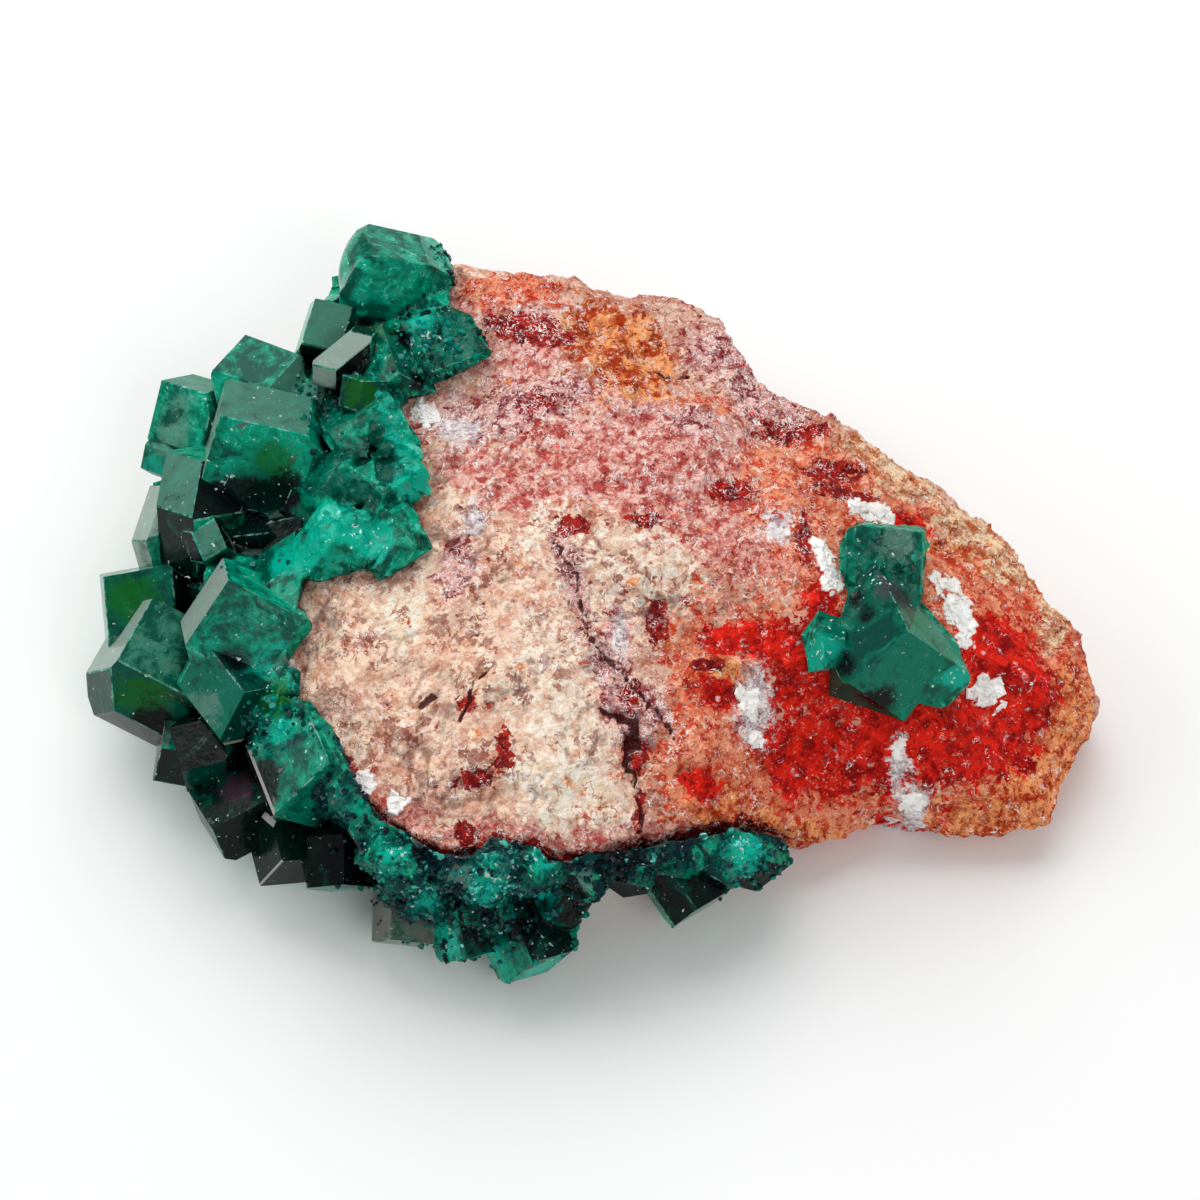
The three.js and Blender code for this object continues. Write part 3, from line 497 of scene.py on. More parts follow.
# The same for what takes in a whole flat face at a time, by where the face's middle is; these paint how light falls
# on
# each face: the darker greens and black are painted shade, the greys painted reflections
faceZones = {
    # faces painted a darker bottle green as painted shade
    "bottle": [
        (18.5, -7, 15.5, 1.6), (21, -10, 14, 1.6), (20, -1.5, 15.5, 1.6), (-13.5, 14.5, 16, 1.4),
        (19, -6, 14.5, 4.5), (-17.5, 9.5, 16.5, 1.2), (-18.5, 4.5, 16, 1.5), (-16, 2.5, 16.5, 1.2),
        (-31.5, -2.5, 11.5, 1.6), (-10.5, 16, 15.5, 1.4), (-26, -11, 13, 1.6), (-20.5, -15.5, 12.5, 1.4),
        (-19.5, -18, 10.5, 1.2)],
    # faces painted darker still as painted shade
    "dusk": [
        (-15.5, 13.5, 16, 1), (-16.5, 10, 18, 1.5), (-18.5, 12, 14.5, 1), (-17.5, 17.5, 14.5, 1.2),
        (-34, -8, 8.5, 1.6), (-24, -12.5, 12, 1.4), (-23.5, -10, 14.5, 1.4), (-26.5, -14.5, 8, 1.2),
        (-24.5, -13, 8, 1.2), (-10, -24, 8.5, 1), (-11, -22.5, 12.5, 1), (5.5, -21.5, 10.5, 1.2),
        (17.5, -11, 12, 1.4), (16, -10, 13, 1)],
    # faces turned from the light, painted near-black as painted shade
    "deep": [
        (-20.6, -19.4, 7.9, 0.9), (-26.5, 3.5, 14.5, 1.4), (-24, 2.5, 13, 1.6), (-23.5, 1, 13, 1.4),
        (-21.5, 2, 13.5, 1.7), (-29, 1.5, 12, 1.2), (-28, 0.5, 13.5, 0.8), (-28.5, -2, 10.5, 1.6),
        (-25.5, 1, 13.5, 1), (-31, -9.5, 10, 1.4), (-32, -9.5, 6, 2), (-27, -13, 9.5, 1.4), (-27.5, -11, 9, 1.2),
        (-21, -20.6, 5.2, 1.3), (-22.5, -19.4, 6.4, 1.5), (-19.6, -20.9, 6.1, 1.2), (-29, -13.5, 6.5, 1.5),
        (-30, -12, 6.5, 1.2), (-25, -16, 7.5, 1.3), (-24, -18, 6.5, 1.2), (-26.5, -17, 6, 1.2), (-18, -21, 8, 1.6),
        (-18, -19, 8.5, 1.2), (-15.5, -20.5, 7.5, 1.6), (-22.5, -16, 10, 1.2), (-22.5, -19.5, 6.5, 1.2),
        (-3.5, -26, 6.5, 1.3), (-8, -26, 6, 1), (-7.5, -25, 8.5, 0.9), (-1.5, -24.5, 7.5, 1.6),
        (-1.5, -24.5, 10.5, 1), (2, -23, 8.5, 1.6), (5, -23, 6.5, 1.6), (7, -23, 7.5, 1.5), (2, -22.5, 11, 1.2),
        (11, -21, 6, 1.2), (-17, 13, 16.5, 0.8), (-16.5, 16, 17, 0.8), (-19.5, 15.5, 14, 1)],
    # faces made rougher and painted grey-green as a painted reflection
    "frosted": [
        (-19, 17.5, 15.5, 1), (-21.5, 13.5, 14.5, 1), (-20, 13, 14, 0.8), (-23, 9.5, 17, 1.5),
        (-29, 5.5, 13.5, 1.4), (-28, 8.5, 12.5, 1), (-28.5, 15, 11.5, 1), (-26.5, 0.5, 14.5, 0.8),
        (-30, -6.5, 11.5, 1.4), (22, -6.5, 14.5, 1.4)],
    # faces painted grey as a painted reflection
    "ash": [(-14.5, -24, 5.5, 1.4), (-12.5, -25, 6, 1.2), (-13, -25.3, 4.3, 1), (7.6, -23, 4.6, 0.8)],
    # faces painted pale grey as a painted reflection
    "pale": [
        (-17.5, 14, 17, 1), (-31.5, 6, 9, 1.5), (-32, 2.5, 8.5, 1.2), (-30.5, 5, 10.5, 0.8), (-26.5, -5, 15, 1.5),
        (-26.5, 9, 15.5, 1.4), (-33, -5.5, 10.5, 0.9), (-19, 12.5, 16, 0.7)],
}
# Where the edges are broken off into wide strips, painted silvery as a painted reflection
brokenEdges = [(-26, -14.5, 9, 4), (-20, -19.5, 8, 4)]
# Crystals that came out with rounded corners: middle and radius in mm, and how far back the rounding starts
roundedCrystals = [(-14, 22.5, 14, 4.4, 19.5)]
crystalLook = {
    "edge": 0.08,          # width of the narrow facets that blunt every edge, mm
    "brokenEdge": 0.32,
    "shortest": 1.2,       # edges shorter than this stay sharp, mm
    "narrower": (1, 0.6, 0.35),  # shares of the width that are tried one after the other
    "roundStep": 0.5,      # longest edge left where corners are rounded, mm
    "meshStep": 1.1,       # longest edge left in the mesh, mm
    "drusenStep": 0.26,    # the same where small crystals cover it
    "fine": (0.55, 0.2),   # size and relief of the small crystals, mm
    "coarse": (1.7, 0.6),  # the same where they are larger
    "lumps": (2.8, 0.45),  # size and relief of the lumps that they form, mm
    "rounding": 10,        # passes of smoothing under them
    # the near-black, navy, dusk and bottle tones are painted shade; the grey-greens, greys, edge line, strip and cyan
    # and white glints are painted reflections and highlights
    "dark": "#005443", "light": "#00ae88", "teal": "#04b89c", "bottle": "#013c32", "dusk": "#012c26",
    "navy": "#031c28", "deep": "#040305", "leaf": "#0b660c", "murk": "#050306", "rust": "#4c3340",
    "haze": "#6c9082", "frosted": "#4e7a6a", "pale": "#98a59c", "ash": "#6e6862", "edgeLine": "#8ccfc0",
    "strip": "#aaa5a0", "cyanGlint": "#5fe6cc", "glint": "#e4fff8", "absorbs": "#46e0b4",
    "density": 150,
    "ior": 1.66,
    "clear": 0.15,         # the share of light that goes in
}


# How fully each zone covers the crystal's own green, in the order they are laid on
zoneCover = {
    "bottle": 0.66, "dusk": 0.9, "navy": 0.9, "teal": 0.85, "deep": 0.97, "leaf": 0.75, "murk": 0.97, "haze": 0.6,
    "frosted": 0.8, "ash": 0.9, "pale": 0.85, "rust": 0.7,
}
crystalNoises = {
    "veils": (2.2, 6, 0.62, 0.9), "grain": (0.6, 4, 0.65, 0), "cracks": (1.1, 3, 0.5, 1.2),
    "glints": (0.4, 2, 0.5, 0), "fine": (0.45, 4, 0.5, 0), "dull": (1.8, 5, 0.5, 0),
}


def finishGlassy(add, colour, own):  # a little light goes in, and comes out greener
    look = crystalLook
    surface = add("ShaderNodeBsdfPrincipled", {
        "Base Color": colour, "IOR": look["ior"], "Transmission Weight": look["clear"], **own})
    inside = add("ShaderNodeVolumeAbsorption", {"Color": linearColour(look["absorbs"]), "Density": look["density"]})
    add("ShaderNodeOutputMaterial", {"Surface": surface, "Volume": inside})


# Dioptase as it grew: glassy flat faces, deep emerald that is clear at thin edges and clouded inside; some faces
# are rougher and painted grey-green as a painted reflection, others painted darker as shade
def crystalMaterial():
    look = crystalLook
    material, add, place, noises, stored = newMaterial("GrownDioptaseCrystal", crystalNoises, (
        "ownTone", "grainTone", "sunk", "edge", "strip", "spark", *zoneCover))
    grained = add("ShaderNodeMath", [noises["grain"], 0.45, noises["veils"]], operation="MULTIPLY_ADD")
    byFace = add("ShaderNodeMath", [stored["ownTone"], 0.14, grained], operation="MULTIPLY_ADD")
    toned = add("ShaderNodeMath", [stored["grainTone"], 0.5, byFace], operation="MULTIPLY_ADD")
    height = add("ShaderNodeMath", [noises["cracks"], 0.5], operation="SUBTRACT")
    away = add("ShaderNodeMath", [height], operation="ABSOLUTE")
    lively = add("ShaderNodeMath", [stored["spark"], 0.14, noises["glints"]], operation="MULTIPLY_ADD")
    ramps = {name: add("ShaderNodeMapRange", values) for name, *values in (
            ("clouds", toned, 0.93, 1.17, 0, 1), ("thin", away, 0.008, 0.024, 0.6, 0),
            ("broken", grained, 0.74, 0.84, 0, 1), ("lit", stored["grainTone"], 0.84, 0.92, 0, 0.6),
            ("worn", noises["grain"], 0.46, 0.62, 0, 0.6), ("glint", lively, 0.7, 0.76, 0, 0.8),
            ("polish", noises["dull"], 0.3, 0.7, 0.06, 0.24))}
    # Fine healed cracks catch the light, and the most lit grains too: both painted as cyan glints; along edges a
    # painted highlight, and wide painted silvery strips where edges are broken off
    cyanGlint = add("ShaderNodeMath", [ramps["thin"], ramps["broken"]], operation="MULTIPLY")
    worn = add("ShaderNodeMath", [stored["edge"], ramps["worn"]], operation="MULTIPLY")
    stripSheen = add("ShaderNodeMath", [stored["edge"], stored["strip"]], operation="MULTIPLY")
    # painted shade, darker where a spot is shut in by what stands around it
    sunk = add("ShaderNodeMapRange", [stored["sunk"], 0.42, 0.8, 0, 0.95], interpolation_type="SMOOTHSTEP")
    covers = {}
    for zone, full in zoneCover.items():
        ragged = add("ShaderNodeMath", [grained, 1.7, stored[zone]], operation="MULTIPLY_ADD")
        covers[zone] = add("ShaderNodeMapRange", [ragged, 1.45, 1.95, 0, full], interpolation_type="SMOOTHSTEP")
    colour = add("ShaderNodeMix", {
        "Factor": ramps["clouds"], "A": linearColour(look["dark"]), "B": linearColour(look["light"])},
        data_type="RGBA")
    for share, tone in ((cyanGlint, "cyanGlint"), *((cover, zone) for zone, cover in covers.items()), (sunk, "deep"),
                        (ramps["lit"], "cyanGlint"), (worn, "edgeLine"), (stripSheen, "strip"), (ramps["glint"], "glint")):
        colour = add("ShaderNodeMix", {"Factor": share, "A": colour, "B": linearColour(look[tone])}, data_type="RGBA")
    steps, _ = tiltedBlocks(add, place, 2.6)
    height = add("ShaderNodeMath", [noises["fine"], 0.4, steps], operation="MULTIPLY_ADD")
    bump = add("ShaderNodeBump", {"Strength": 0.22, "Distance": 0.25 * mm, "Height": height})
    roughness = add("ShaderNodeMath", [covers["frosted"], 0.3, ramps["polish"]], operation="MULTIPLY_ADD")
    finishGlassy(add, colour, {"Roughness": roughness, "Specular IOR Level": 0.02, "Normal": bump})
    return material


def zoneWeight(spots, zones):  # 1 in the middle of a zone, fading out around it
    bare = np.ones(len(spots))
    for cx, cy, cz, reach in zones:
        bare *= 1 - np.exp(-((spots - (cx, cy, cz)) ** 2).sum(1) / reach ** 2)
    return 1 - bare


def splitLongEdges(work, wanted, longest):  # halves the wanted edges of a triangle mesh until none is longer
    for _ in range(6):
        long = [(e.calc_length(), e) for e in work.edges if e.calc_length() > longest * mm and wanted(e)]
        if not long:
            break
        for _, edge in sorted(long, key=lambda pair: -pair[0]):
            middle = bmesh.utils.edge_split(edge, edge.verts[0], 0.5)[1]
            beside = {e.other_vert(middle) for e in middle.link_edges}
            for face in list(middle.link_faces):
                across = next(v for v in face.verts if v != middle and v not in beside)
                bmesh.utils.face_split(face, middle, across)


def druseOn(spots, ground):  # how thick small crystals cover each spot, from 0 to 1
    z = spots[:, 2]
    off = np.array([ground.find_nearest(Vector(p) * mm)[3] for p in spots]) / mm
    clumps = zoneWeight(spots, crystalZones["druse"])
    seam = np.clip((2.4 - off) / 1.6, 0, 1) * (z > 4)
    bare = zoneWeight(spots, crystalZones["smooth"])
    return np.maximum(clumps, seam) * (off > 0.8) * np.clip(1.3 - 1.6 * bare, 0, 1)


def sunkIn(spots, normals, solids, reach):  # how far each spot is shut in by what stands around it, 0 to 1
    fan = []
    for ring, count in ((0.35, 3), (0.8, 5), (1.2, 6)):
        for i in range(count):
            turn = 2 * math.pi * (i + ring) / count
            fan.append(Vector((math.sin(ring) * math.cos(turn), math.sin(ring) * math.sin(turn), math.cos(ring))))
    shut = np.zeros(len(spots))
    for i, (p, n) in enumerate(zip(spots, normals)):
        outward = Vector(n)
        stance = outward.to_track_quat("Z", "Y")
        start = (Vector(p) + outward * 0.06) * mm
        for way in fan:
            ray = stance @ way
            if any(solid.ray_cast(start, ray, reach * mm)[0] for solid in solids):
                shut[i] += 1 / len(fan)
    return shut


def middleOf(edge):
    return (edge.verts[0].co + edge.verts[1].co) / 2


def isSharp(edge, shortest):
    return (edge.is_manifold and edge.is_convex and edge.calc_length() > shortest * mm
            and edge.calc_face_angle(0) > math.radians(20))


def isSound(faces):  # whether the mesh round these faces is closed and has nothing thinner than a hair
    around = {f for n in faces for v in n.verts for f in v.link_faces}
    edges = {e for f in around for e in f.edges}
    return (len(faces) > 0 and all(f.calc_area() > 1e-5 * mm ** 2 for f in around)
            and all(e.is_manifold and e.calc_length() > 0.01 * mm for e in edges))


def toneFaces(faces, layers):  # gives each flat face its own tone, and its share of each zone
    middles = np.array([f.calc_center_median() for f in faces]) / mm
    weights = {zone: zoneWeight(middles, zones) for zone, zones in faceZones.items()}
    for i, face in enumerate(faces):
        face[layers["ownTone"]] = 0.5 + 0.5 * noise.cell(Vector(middles[i]) * 3)
        for zone in faceZones:
            face[layers[zone]] = weights[zone][i]


def inOrder(work):  # the same mesh built afresh, its points and faces in an order that is the same in each run
    found = sorted((tuple(round(c, 7) for c in v.co), i) for i, v in enumerate(work.verts))
    place = {i: rank for rank, (_, i) in enumerate(found)}
    work.verts.index_update()
    old = work.faces.layers.float
    rows = []
    for face in work.faces:
        ring = [place[v.index] for v in face.verts]
        start = ring.index(min(ring))
        rows.append((ring[start:] + ring[:start], [face[old[key]] for key in old.keys()]))
    fresh = bmesh.new()
    layers = [fresh.faces.layers.float.new(key) for key in old.keys()]
    verts = [fresh.verts.new(spot) for spot, _ in found]
    for ring, values in sorted(rows):
        face = fresh.faces.new([verts[i] for i in ring])
        for layer, value in zip(layers, values):
            face[layer] = value
    work.free()
    fresh.normal_update()
    return fresh


def makeCrystals(nodeName, name, material, ground):
    look = crystalLook
    work = mergedCopy(nodeName)
    bmesh.ops.dissolve_limit(work, angle_limit=math.radians(1), verts=work.verts, edges=work.edges)
    layers = {key: work.faces.layers.float.new(key) for key in ("ownTone", "edge", "strip", *faceZones)}
    toneFaces(work.faces[:], layers)
    middles = [middleOf(e) for e in work.edges if isSharp(e, look["shortest"])]
    broken = zoneWeight(np.array(middles) / mm, brokenEdges) > 0.45
    for middle, isBroken in zip(middles, broken):
        for share in look["narrower"]:
            edge = min((e for e in work.edges if isSharp(e, look["shortest"] / 2)),
                       key=lambda e: (middleOf(e) - middle).length)
            if (middleOf(edge) - middle).length > look["shortest"] * mm:
                break
            before = work.copy()
            width = share * (look["brokenEdge"] if isBroken else look["edge"])
            blunted = bmesh.ops.bevel(work, geom=[edge], offset=width * mm, offset_type="OFFSET", segments=1,
                                      profile=0.5, affect="EDGES", clamp_overlap=True)
            if isSound(blunted["faces"]):
                for face in blunted["faces"]:
                    face[layers["edge"]] = 1
                    face[layers["strip"]] = isBroken
                before.free()
                break
            work.free()
            work = before
            layers = {key: work.faces.layers.float[key] for key in layers}
    bmesh.ops.dissolve_verts(work, verts=[v for v in work.verts if len(v.link_edges) == 2])
    work = inOrder(work)
    layers = {key: work.faces.layers.float[key] for key in layers}
    toneFaces([f for f in work.faces if f[layers["edge"]]], layers)
    bmesh.ops.triangulate(work, faces=work.faces)
    splitLongEdges(work, lambda e: True, look["meshStep"])
    for cx, cy, cz, radius, start in roundedCrystals:
        middle = Vector((cx, cy, cz)) * mm
        splitLongEdges(work, lambda e: (e.verts[0].co - middle).length < 1.5 * radius * mm, look["roundStep"])
        for vert in work.verts:
            out = (vert.co - middle).length / mm
            if radius < out < 1.5 * radius:
                share = min(max((vert.co.y / mm - start) / 2, 0), 1)
                vert.co = middle + (vert.co - middle) * (1 - share * 0.85 * (out - radius) / out)
    for longest in (look["drusenStep"] * 2, look["drusenStep"], None):
        cover = druseOn(np.array([v.co for v in work.verts]) / mm, ground)
        rough = {v for v, share in zip(work.verts, cover) if share > 0.3}
        if longest:
            splitLongEdges(work, lambda e: any(v in rough for v in e.verts), longest)
    for _ in range(look["rounding"]):
        bmesh.ops.smooth_vert(work, verts=list(rough), factor=0.5, use_axis_x=True, use_axis_y=True,
                              use_axis_z=True)
    for face in work.faces:
        if face.verts[0] in rough:
            face[layers["edge"]] = 0
    piece = pieceFrom(work, name)
    mesh = piece.data
    spots = pointsOf(mesh) / mm
    normals = np.array([v.normal for v in mesh.vertices])
    coarse = np.clip(1.6 * zoneWeight(spots, crystalZones["coarse"]) - 0.3, 0, 1)
    bySize = {size: facetsOn(spots, look[size][0]) for size in ("fine", "coarse")}
    relief = look["fine"][1] * bySize["fine"][0] * (1 - 0.5 * coarse)
    relief += look["coarse"][1] * bySize["coarse"][0] * coarse
    relief += look["lumps"][1] * noiseOn(spots, look["lumps"][0], 3, 4)
    spots += normals * (relief * np.clip(cover * 1.6 - 0.4, 0, 1))[:, None]
    low, high = (np.array(corner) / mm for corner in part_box(nodeName))
    setPoints(mesh, np.clip(spots, low, high) * mm)
    own = BVHTree.FromPolygons([v.co for v in mesh.vertices], [p.vertices for p in mesh.polygons])
    for zone in ("teal", "leaf", "haze", "murk", "rust", "spark"):
        storeOnPoints(mesh, zone, zoneWeight(spots, crystalZones[zone]))
    patchy = np.clip(0.85 + 1.8 * noiseOn(spots, 1.7, 2, 80), 0, 1)
    toRock = np.array([ground.find_nearest(Vector(p) * mm)[3] for p in spots]) / mm
    # painted shadow where the rock's rim hangs over the front crystals
    rim = np.clip((1.8 - toRock) / 0.8, 0, 1) * (spots[:, 1] < -14)
    storeOnPoints(mesh, "navy", np.maximum(zoneWeight(spots, crystalZones["navy"]) * patchy, rim))
    storeOnPoints(mesh, "druse", cover * np.clip(1 - 1.5 * coarse, 0, 1))
    grainTone = 0.5 + (bySize["fine"][1] - 0.5) * (1 - 0.6 * coarse) + (bySize["coarse"][1] - 0.5) * coarse
    storeOnPoints(mesh, "grainTone", 0.5 + (grainTone - 0.5) * np.clip(cover * 1.6 - 0.4, 0, 1))
    storeOnPoints(mesh, "sunk", sunkIn(spots, normals, (own, ground), 4.0))
    storeOnPoints(mesh, "shade", zoneWeight(spots, faceZones["deep"]))
    mesh.shade_flat()
    mesh.materials.append(material)
    print(name + ":", len(mesh.polygons), "faces")
    return piece


def crystalShape(name, long, waist):  # a short six-sided prism with three faces at each end, one unit wide
    work = bmesh.new()
    bmesh.ops.create_cube(work, size=1)
    stand = Vector((1, 1, 1)).rotation_difference(Vector((0, 0, 1))).to_matrix().to_4x4()
    bmesh.ops.transform(work, matrix=Matrix.Diagonal((1, 1, long, 1)) @ stand, verts=work.verts)
    for side in range(6 if waist else 0):
        way = math.radians(60 * side + 30)
        outward = Vector((math.cos(way), math.sin(way), 0))
        everything = work.verts[:] + work.edges[:] + work.faces[:]
        bmesh.ops.bisect_plane(work, geom=everything, plane_co=outward * waist, plane_no=outward, clear_outer=True)
        bmesh.ops.holes_fill(work, edges=work.edges, sides=0)
    bmesh.ops.recalc_face_normals(work, faces=work.faces)
    return pieceFrom(work, name)


def plateShape(name):  # a flat flake with a slanting rim
    work = bmesh.new()
    bmesh.ops.create_cone(work, cap_ends=True, segments=4, radius1=0.6, radius2=0.5, depth=0.14)
    return pieceFrom(work, name)


def overgrowthTree():
    tree = bpy.data.node_groups.new("grownOverSurface", "GeometryNodeTree")
    add = partial(addNode, tree)
    wanted = {"Surface": "Geometry", "Shape": "Object", "Where": "String", "Spacing": "Float", "Density": "Float",
              "Smallest": "Float", "Largest": "Float", "Tilt": "Float", "Seed": "Int", "Finish": "Material"}
    ids = {}
    for name, kind in wanted.items():
        ids[name] = tree.interface.new_socket(name, in_out="INPUT", socket_type="NodeSocket" + kind).identifier
    tree.interface.new_socket("Grown", in_out="OUTPUT", socket_type="NodeSocketGeometry")
    given = add("NodeGroupInput").outputs
    where = add("GeometryNodeInputNamedAttribute", {"Name": given["Where"]}, data_type="FLOAT")
    points = add("GeometryNodeDistributePointsOnFaces", {
        "Mesh": given["Surface"], "Distance Min": given["Spacing"], "Density Max": given["Density"],
        "Density Factor": where, "Seed": given["Seed"]}, distribute_method="POISSON")
    shape = add("GeometryNodeObjectInfo", {"Object": given["Shape"]})
    chance = add("FunctionNodeRandomValue", {"Seed": given["Seed"]})
    small = add("ShaderNodeMath", [chance, 2.0], operation="POWER")
    size = add("ShaderNodeMapRange", [small, 0, 1, given["Smallest"], given["Largest"]])
    reach = add("ShaderNodeMath", [given["Tilt"], -1.0], operation="MULTIPLY")
    low = add("ShaderNodeCombineXYZ", [reach, reach, -3.1416])
    high = add("ShaderNodeCombineXYZ", [given["Tilt"], given["Tilt"], 3.1416])
    turn = add("FunctionNodeRandomValue", {"Min": low, "Max": high, "Seed": given["Seed"]}, data_type="FLOAT_VECTOR")
    stance = add("FunctionNodeRotateRotation", {
        "Rotation": points.outputs["Rotation"], "Rotate By": turn}, rotation_space="LOCAL")
    grown = add("GeometryNodeInstanceOnPoints", {
        "Points": points, "Instance": shape.outputs["Geometry"], "Rotation": stance, "Scale": size})
    again = add("ShaderNodeMath", [given["Seed"], 1.0], operation="ADD")
    own = add("FunctionNodeRandomValue", {"Seed": again})
    toned = add("GeometryNodeStoreNamedAttribute", {"Geometry": grown, "Name": "ownTone", "Value": own},
                data_type="FLOAT", domain="INSTANCE")
    solid = add("GeometryNodeRealizeInstances", {"Geometry": toned})
    finished = add("GeometryNodeSetMaterial", {"Geometry": solid, "Material": given["Finish"]})
    add("NodeGroupOutput", {"Grown": finished})
    return tree, ids


def grownOver(surface, name, shape, finish, spacing, density, sizes, tilt, seed, where):
    piece = newPiece(name, surface.data.copy())
    modifier = piece.modifiers.new("grown", "NODES")
    modifier.node_group, ids = overgrowth
    given = {"Shape": shape, "Where": where, "Spacing": spacing * mm, "Density": density / mm ** 2,
             "Smallest": sizes[0] * mm, "Largest": sizes[1] * mm, "Tilt": tilt, "Seed": seed, "Finish": finish}
    for socket, value in given.items():
        modifier[ids[socket]] = value
    applied(piece)
    low, high = (np.array(corner) for corner in cadBounds)
    setPoints(piece.data, np.clip(pointsOf(piece.data), low, high))
    piece.data.shade_flat()
    print(name + ":", len(piece.data.polygons), "faces")
    return piece


druseLook = {
    "dark": "#02282a",
    "light": "#049c88",
    "teal": "#0adccc",
    "sparkle": "#8cf0ea",
    "noises": {"swarms": (1.8, 4, 0.5, 0), "streaks": (0.9, 3, 0.5, 1.5)},
    "grown": {"spacing": 0.27, "density": 8.0, "sizes": (0.15, 0.42), "tilt": 0.8, "seed": 3, "where": "druse"},
}


# A felt of small dioptase crystals, each its own green; near-black painted shade on shaded faces, in recesses and
# over the front band, and a few painted bright sparkles
def druseMaterial():
    look = druseLook
    material, add, _, noises, stored = newMaterial("SmallDioptaseDruse", look["noises"], (
        "ownTone", "navy", "teal", "spark", "shade", "sunk"))
    swarmed = add("ShaderNodeMath", [stored["ownTone"], 0.13, noises["swarms"]], operation="MULTIPLY_ADD")
    tone = add("ShaderNodeMapRange", [swarmed, 0.47, 0.76])
    # painted shade of the front band
    frontShadeShare = add("ShaderNodeMath", [stored["navy"], 0.9], operation="MULTIPLY")
    tealShare = add("ShaderNodeMath", [stored["teal"], tone], operation="MULTIPLY")
    lively = add("ShaderNodeMath", [stored["spark"], 0.12, noises["streaks"]], operation="MULTIPLY_ADD")
    picked = add("ShaderNodeMath", [stored["ownTone"], 0.25, lively], operation="MULTIPLY_ADD")
    # painted sparkles on a few small crystals
    sparkle = add("ShaderNodeMapRange", [picked, 0.84, 0.9, 0, 0.85])
    # painted shade, from shaded faces and from recesses
    dark = add("ShaderNodeMath", [stored["shade"], stored["sunk"]], operation="ADD")
    paintedShadeShare = add("ShaderNodeMapRange", [dark, 0.6, 1.2, 0, 0.95])
    colour = add("ShaderNodeMix", {
        "Factor": tone, "A": linearColour(look["dark"]), "B": linearColour(look["light"])}, data_type="RGBA")
    for share, code in ((frontShadeShare, crystalLook["navy"]), (tealShare, look["teal"]), (sparkle, look["sparkle"]),
                        (paintedShadeShare, crystalLook["deep"])):
        colour = add("ShaderNodeMix", {"Factor": share, "A": colour, "B": linearColour(code)}, data_type="RGBA")
    finishGlassy(add, colour, {"Roughness": 0.16, "Specular IOR Level": 0.06})
    return material


calciteLook = {
    "white": "#fffefa",
    "stained": "#ece4de",
    "grown": {"spacing": 0.2, "density": 18, "sizes": (0.3, 0.95), "tilt": 0.6, "seed": 5, "where": "calcite"},
}


# Calcite crust: chalky white, a little glassy at the flakes' edges
def calciteMaterial():
    material, add, _, noises, _ = newMaterial("FlakyCalciteCrust", {"stain": (0.8, 4, 0.5, 0)})
    share = add("ShaderNodeMapRange", [noises["stain"], 0.42, 0.66])
    colour = add("ShaderNodeMix", {
        "Factor": share, "A": linearColour(calciteLook["white"]), "B": linearColour(calciteLook["stained"])},
        data_type="RGBA")
    surface = add("ShaderNodeBsdfPrincipled", {"Base Color": colour, "Roughness": 0.45, "IOR": 1.6})
    add("ShaderNodeOutputMaterial", {"Surface": surface})
    return material


def makeStage():
    work = bmesh.new()
    bmesh.ops.create_grid(work, x_segments=1, y_segments=1, size=2)
    floor = pieceFrom(work, "floor")
    material, add, *_ = newMaterial("PaleMattPaper")
    surface = add("ShaderNodeBsdfPrincipled", {"Base Color": linearColour("#f6f6f4"), "Roughness": 0.9})
    add("ShaderNodeOutputMaterial", {"Surface": surface})
    floor.data.materials.append(material)


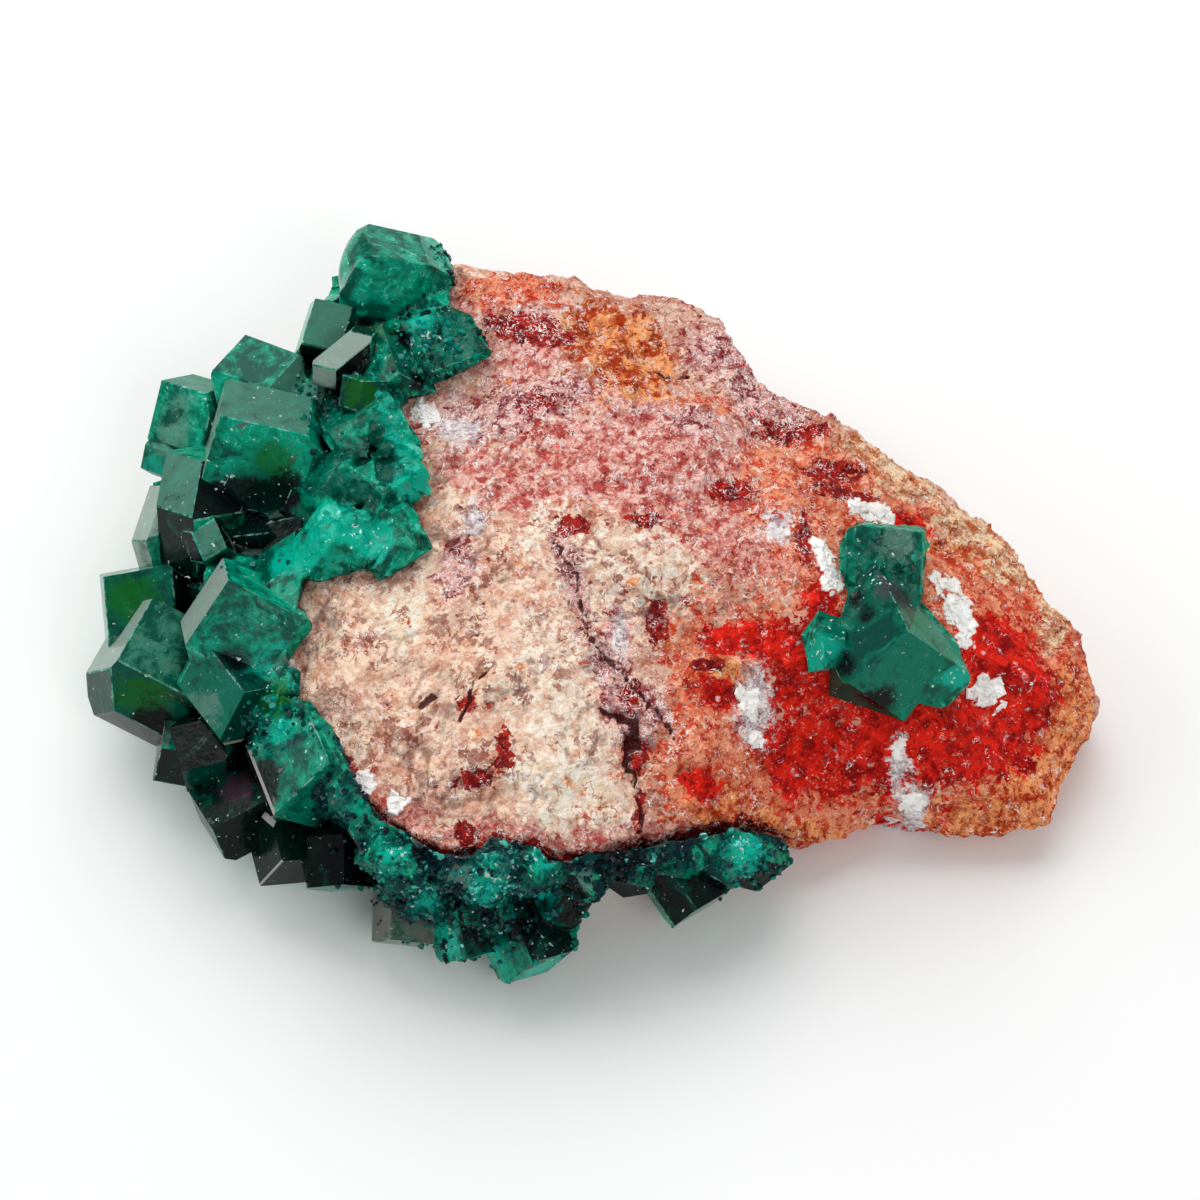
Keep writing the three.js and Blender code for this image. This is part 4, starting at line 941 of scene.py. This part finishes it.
def makeLights():
    softboxes = {   # place, size, watts
        "topBack": ((-0.05, 0.34, 0.5), 0.6, 2.3),
        "leftBack": ((-0.5, 0.16, 0.34), 0.4, 1.0),
        "front": ((0.22, -0.42, 0.5), 0.34, 0.9),
    }
    for name, (spot, size, power) in softboxes.items():
        light = bpy.data.lights.new(name, "AREA")
        light.shape = "DISK"
        light.size = size
        light.energy = power
        lamp = bpy.data.objects.new(name, light)
        bpy.context.scene.collection.objects.link(lamp)
        lamp.location = spot
        lamp.rotation_euler = (Vector((0, 0, 0.01)) - Vector(spot)).to_track_quat("-Z", "Y").to_euler()
    world = bpy.data.worlds.new("studio")
    world.use_nodes = True
    background = world.node_tree.nodes["Background"]
    background.inputs["Color"].default_value = linearColour("#eef1f4")
    background.inputs["Strength"].default_value = 0.5
    bpy.context.scene.world = world


def makeCamera():
    view = {"target": (0.25, -3.05, 12), "elevation": 60, "distance": 260, "seenWidth": 82.4}
    up = math.radians(view["elevation"])
    target = Vector(view["target"]) * mm
    camera = bpy.data.cameras.new("camera")
    camera.sensor_width = 36
    camera.lens = camera.sensor_width * view["distance"] / view["seenWidth"]
    camera.clip_start = 0.01
    eye = bpy.data.objects.new("camera", camera)
    bpy.context.scene.collection.objects.link(eye)
    eye.location = target + Vector((0, -math.cos(up), math.sin(up))) * view["distance"] * mm
    eye.rotation_euler = (target - eye.location).to_track_quat("-Z", "Y").to_euler()
    bpy.context.scene.camera = eye


makeStage()
makeLights()
makeCamera()
bpy.context.scene.view_settings.view_transform = "Standard"

rock = makeRock()
rock.data.materials.append(rockMaterial())
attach(rock, "root")
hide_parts("matrix")

dioptase = crystalMaterial()
ground = BVHTree.FromPolygons([v.co for v in rock.data.vertices], [p.vertices for p in rock.data.polygons])
cluster = makeCrystals("dioptase_cluster", "dioptaseCluster", dioptase, ground)
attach(cluster, "root")
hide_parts("dioptase_cluster")
pair = makeCrystals("dioptase_pair", "dioptasePair", dioptase, ground)
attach(pair, "root")
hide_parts("dioptase_pair")

overgrowth = overgrowthTree()
prism = crystalShape("prismShape", 1.15, 0.62)
flake = plateShape("flakeShape")
druse = grownOver(cluster, "dioptaseDruse", prism, druseMaterial(), **druseLook["grown"])
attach(druse, "root")
crusts = grownOver(rock, "calciteCrusts", flake, calciteMaterial(), **calciteLook["grown"])
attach(crusts, "root")
for shape in (prism, flake):
    bpy.data.objects.remove(shape)
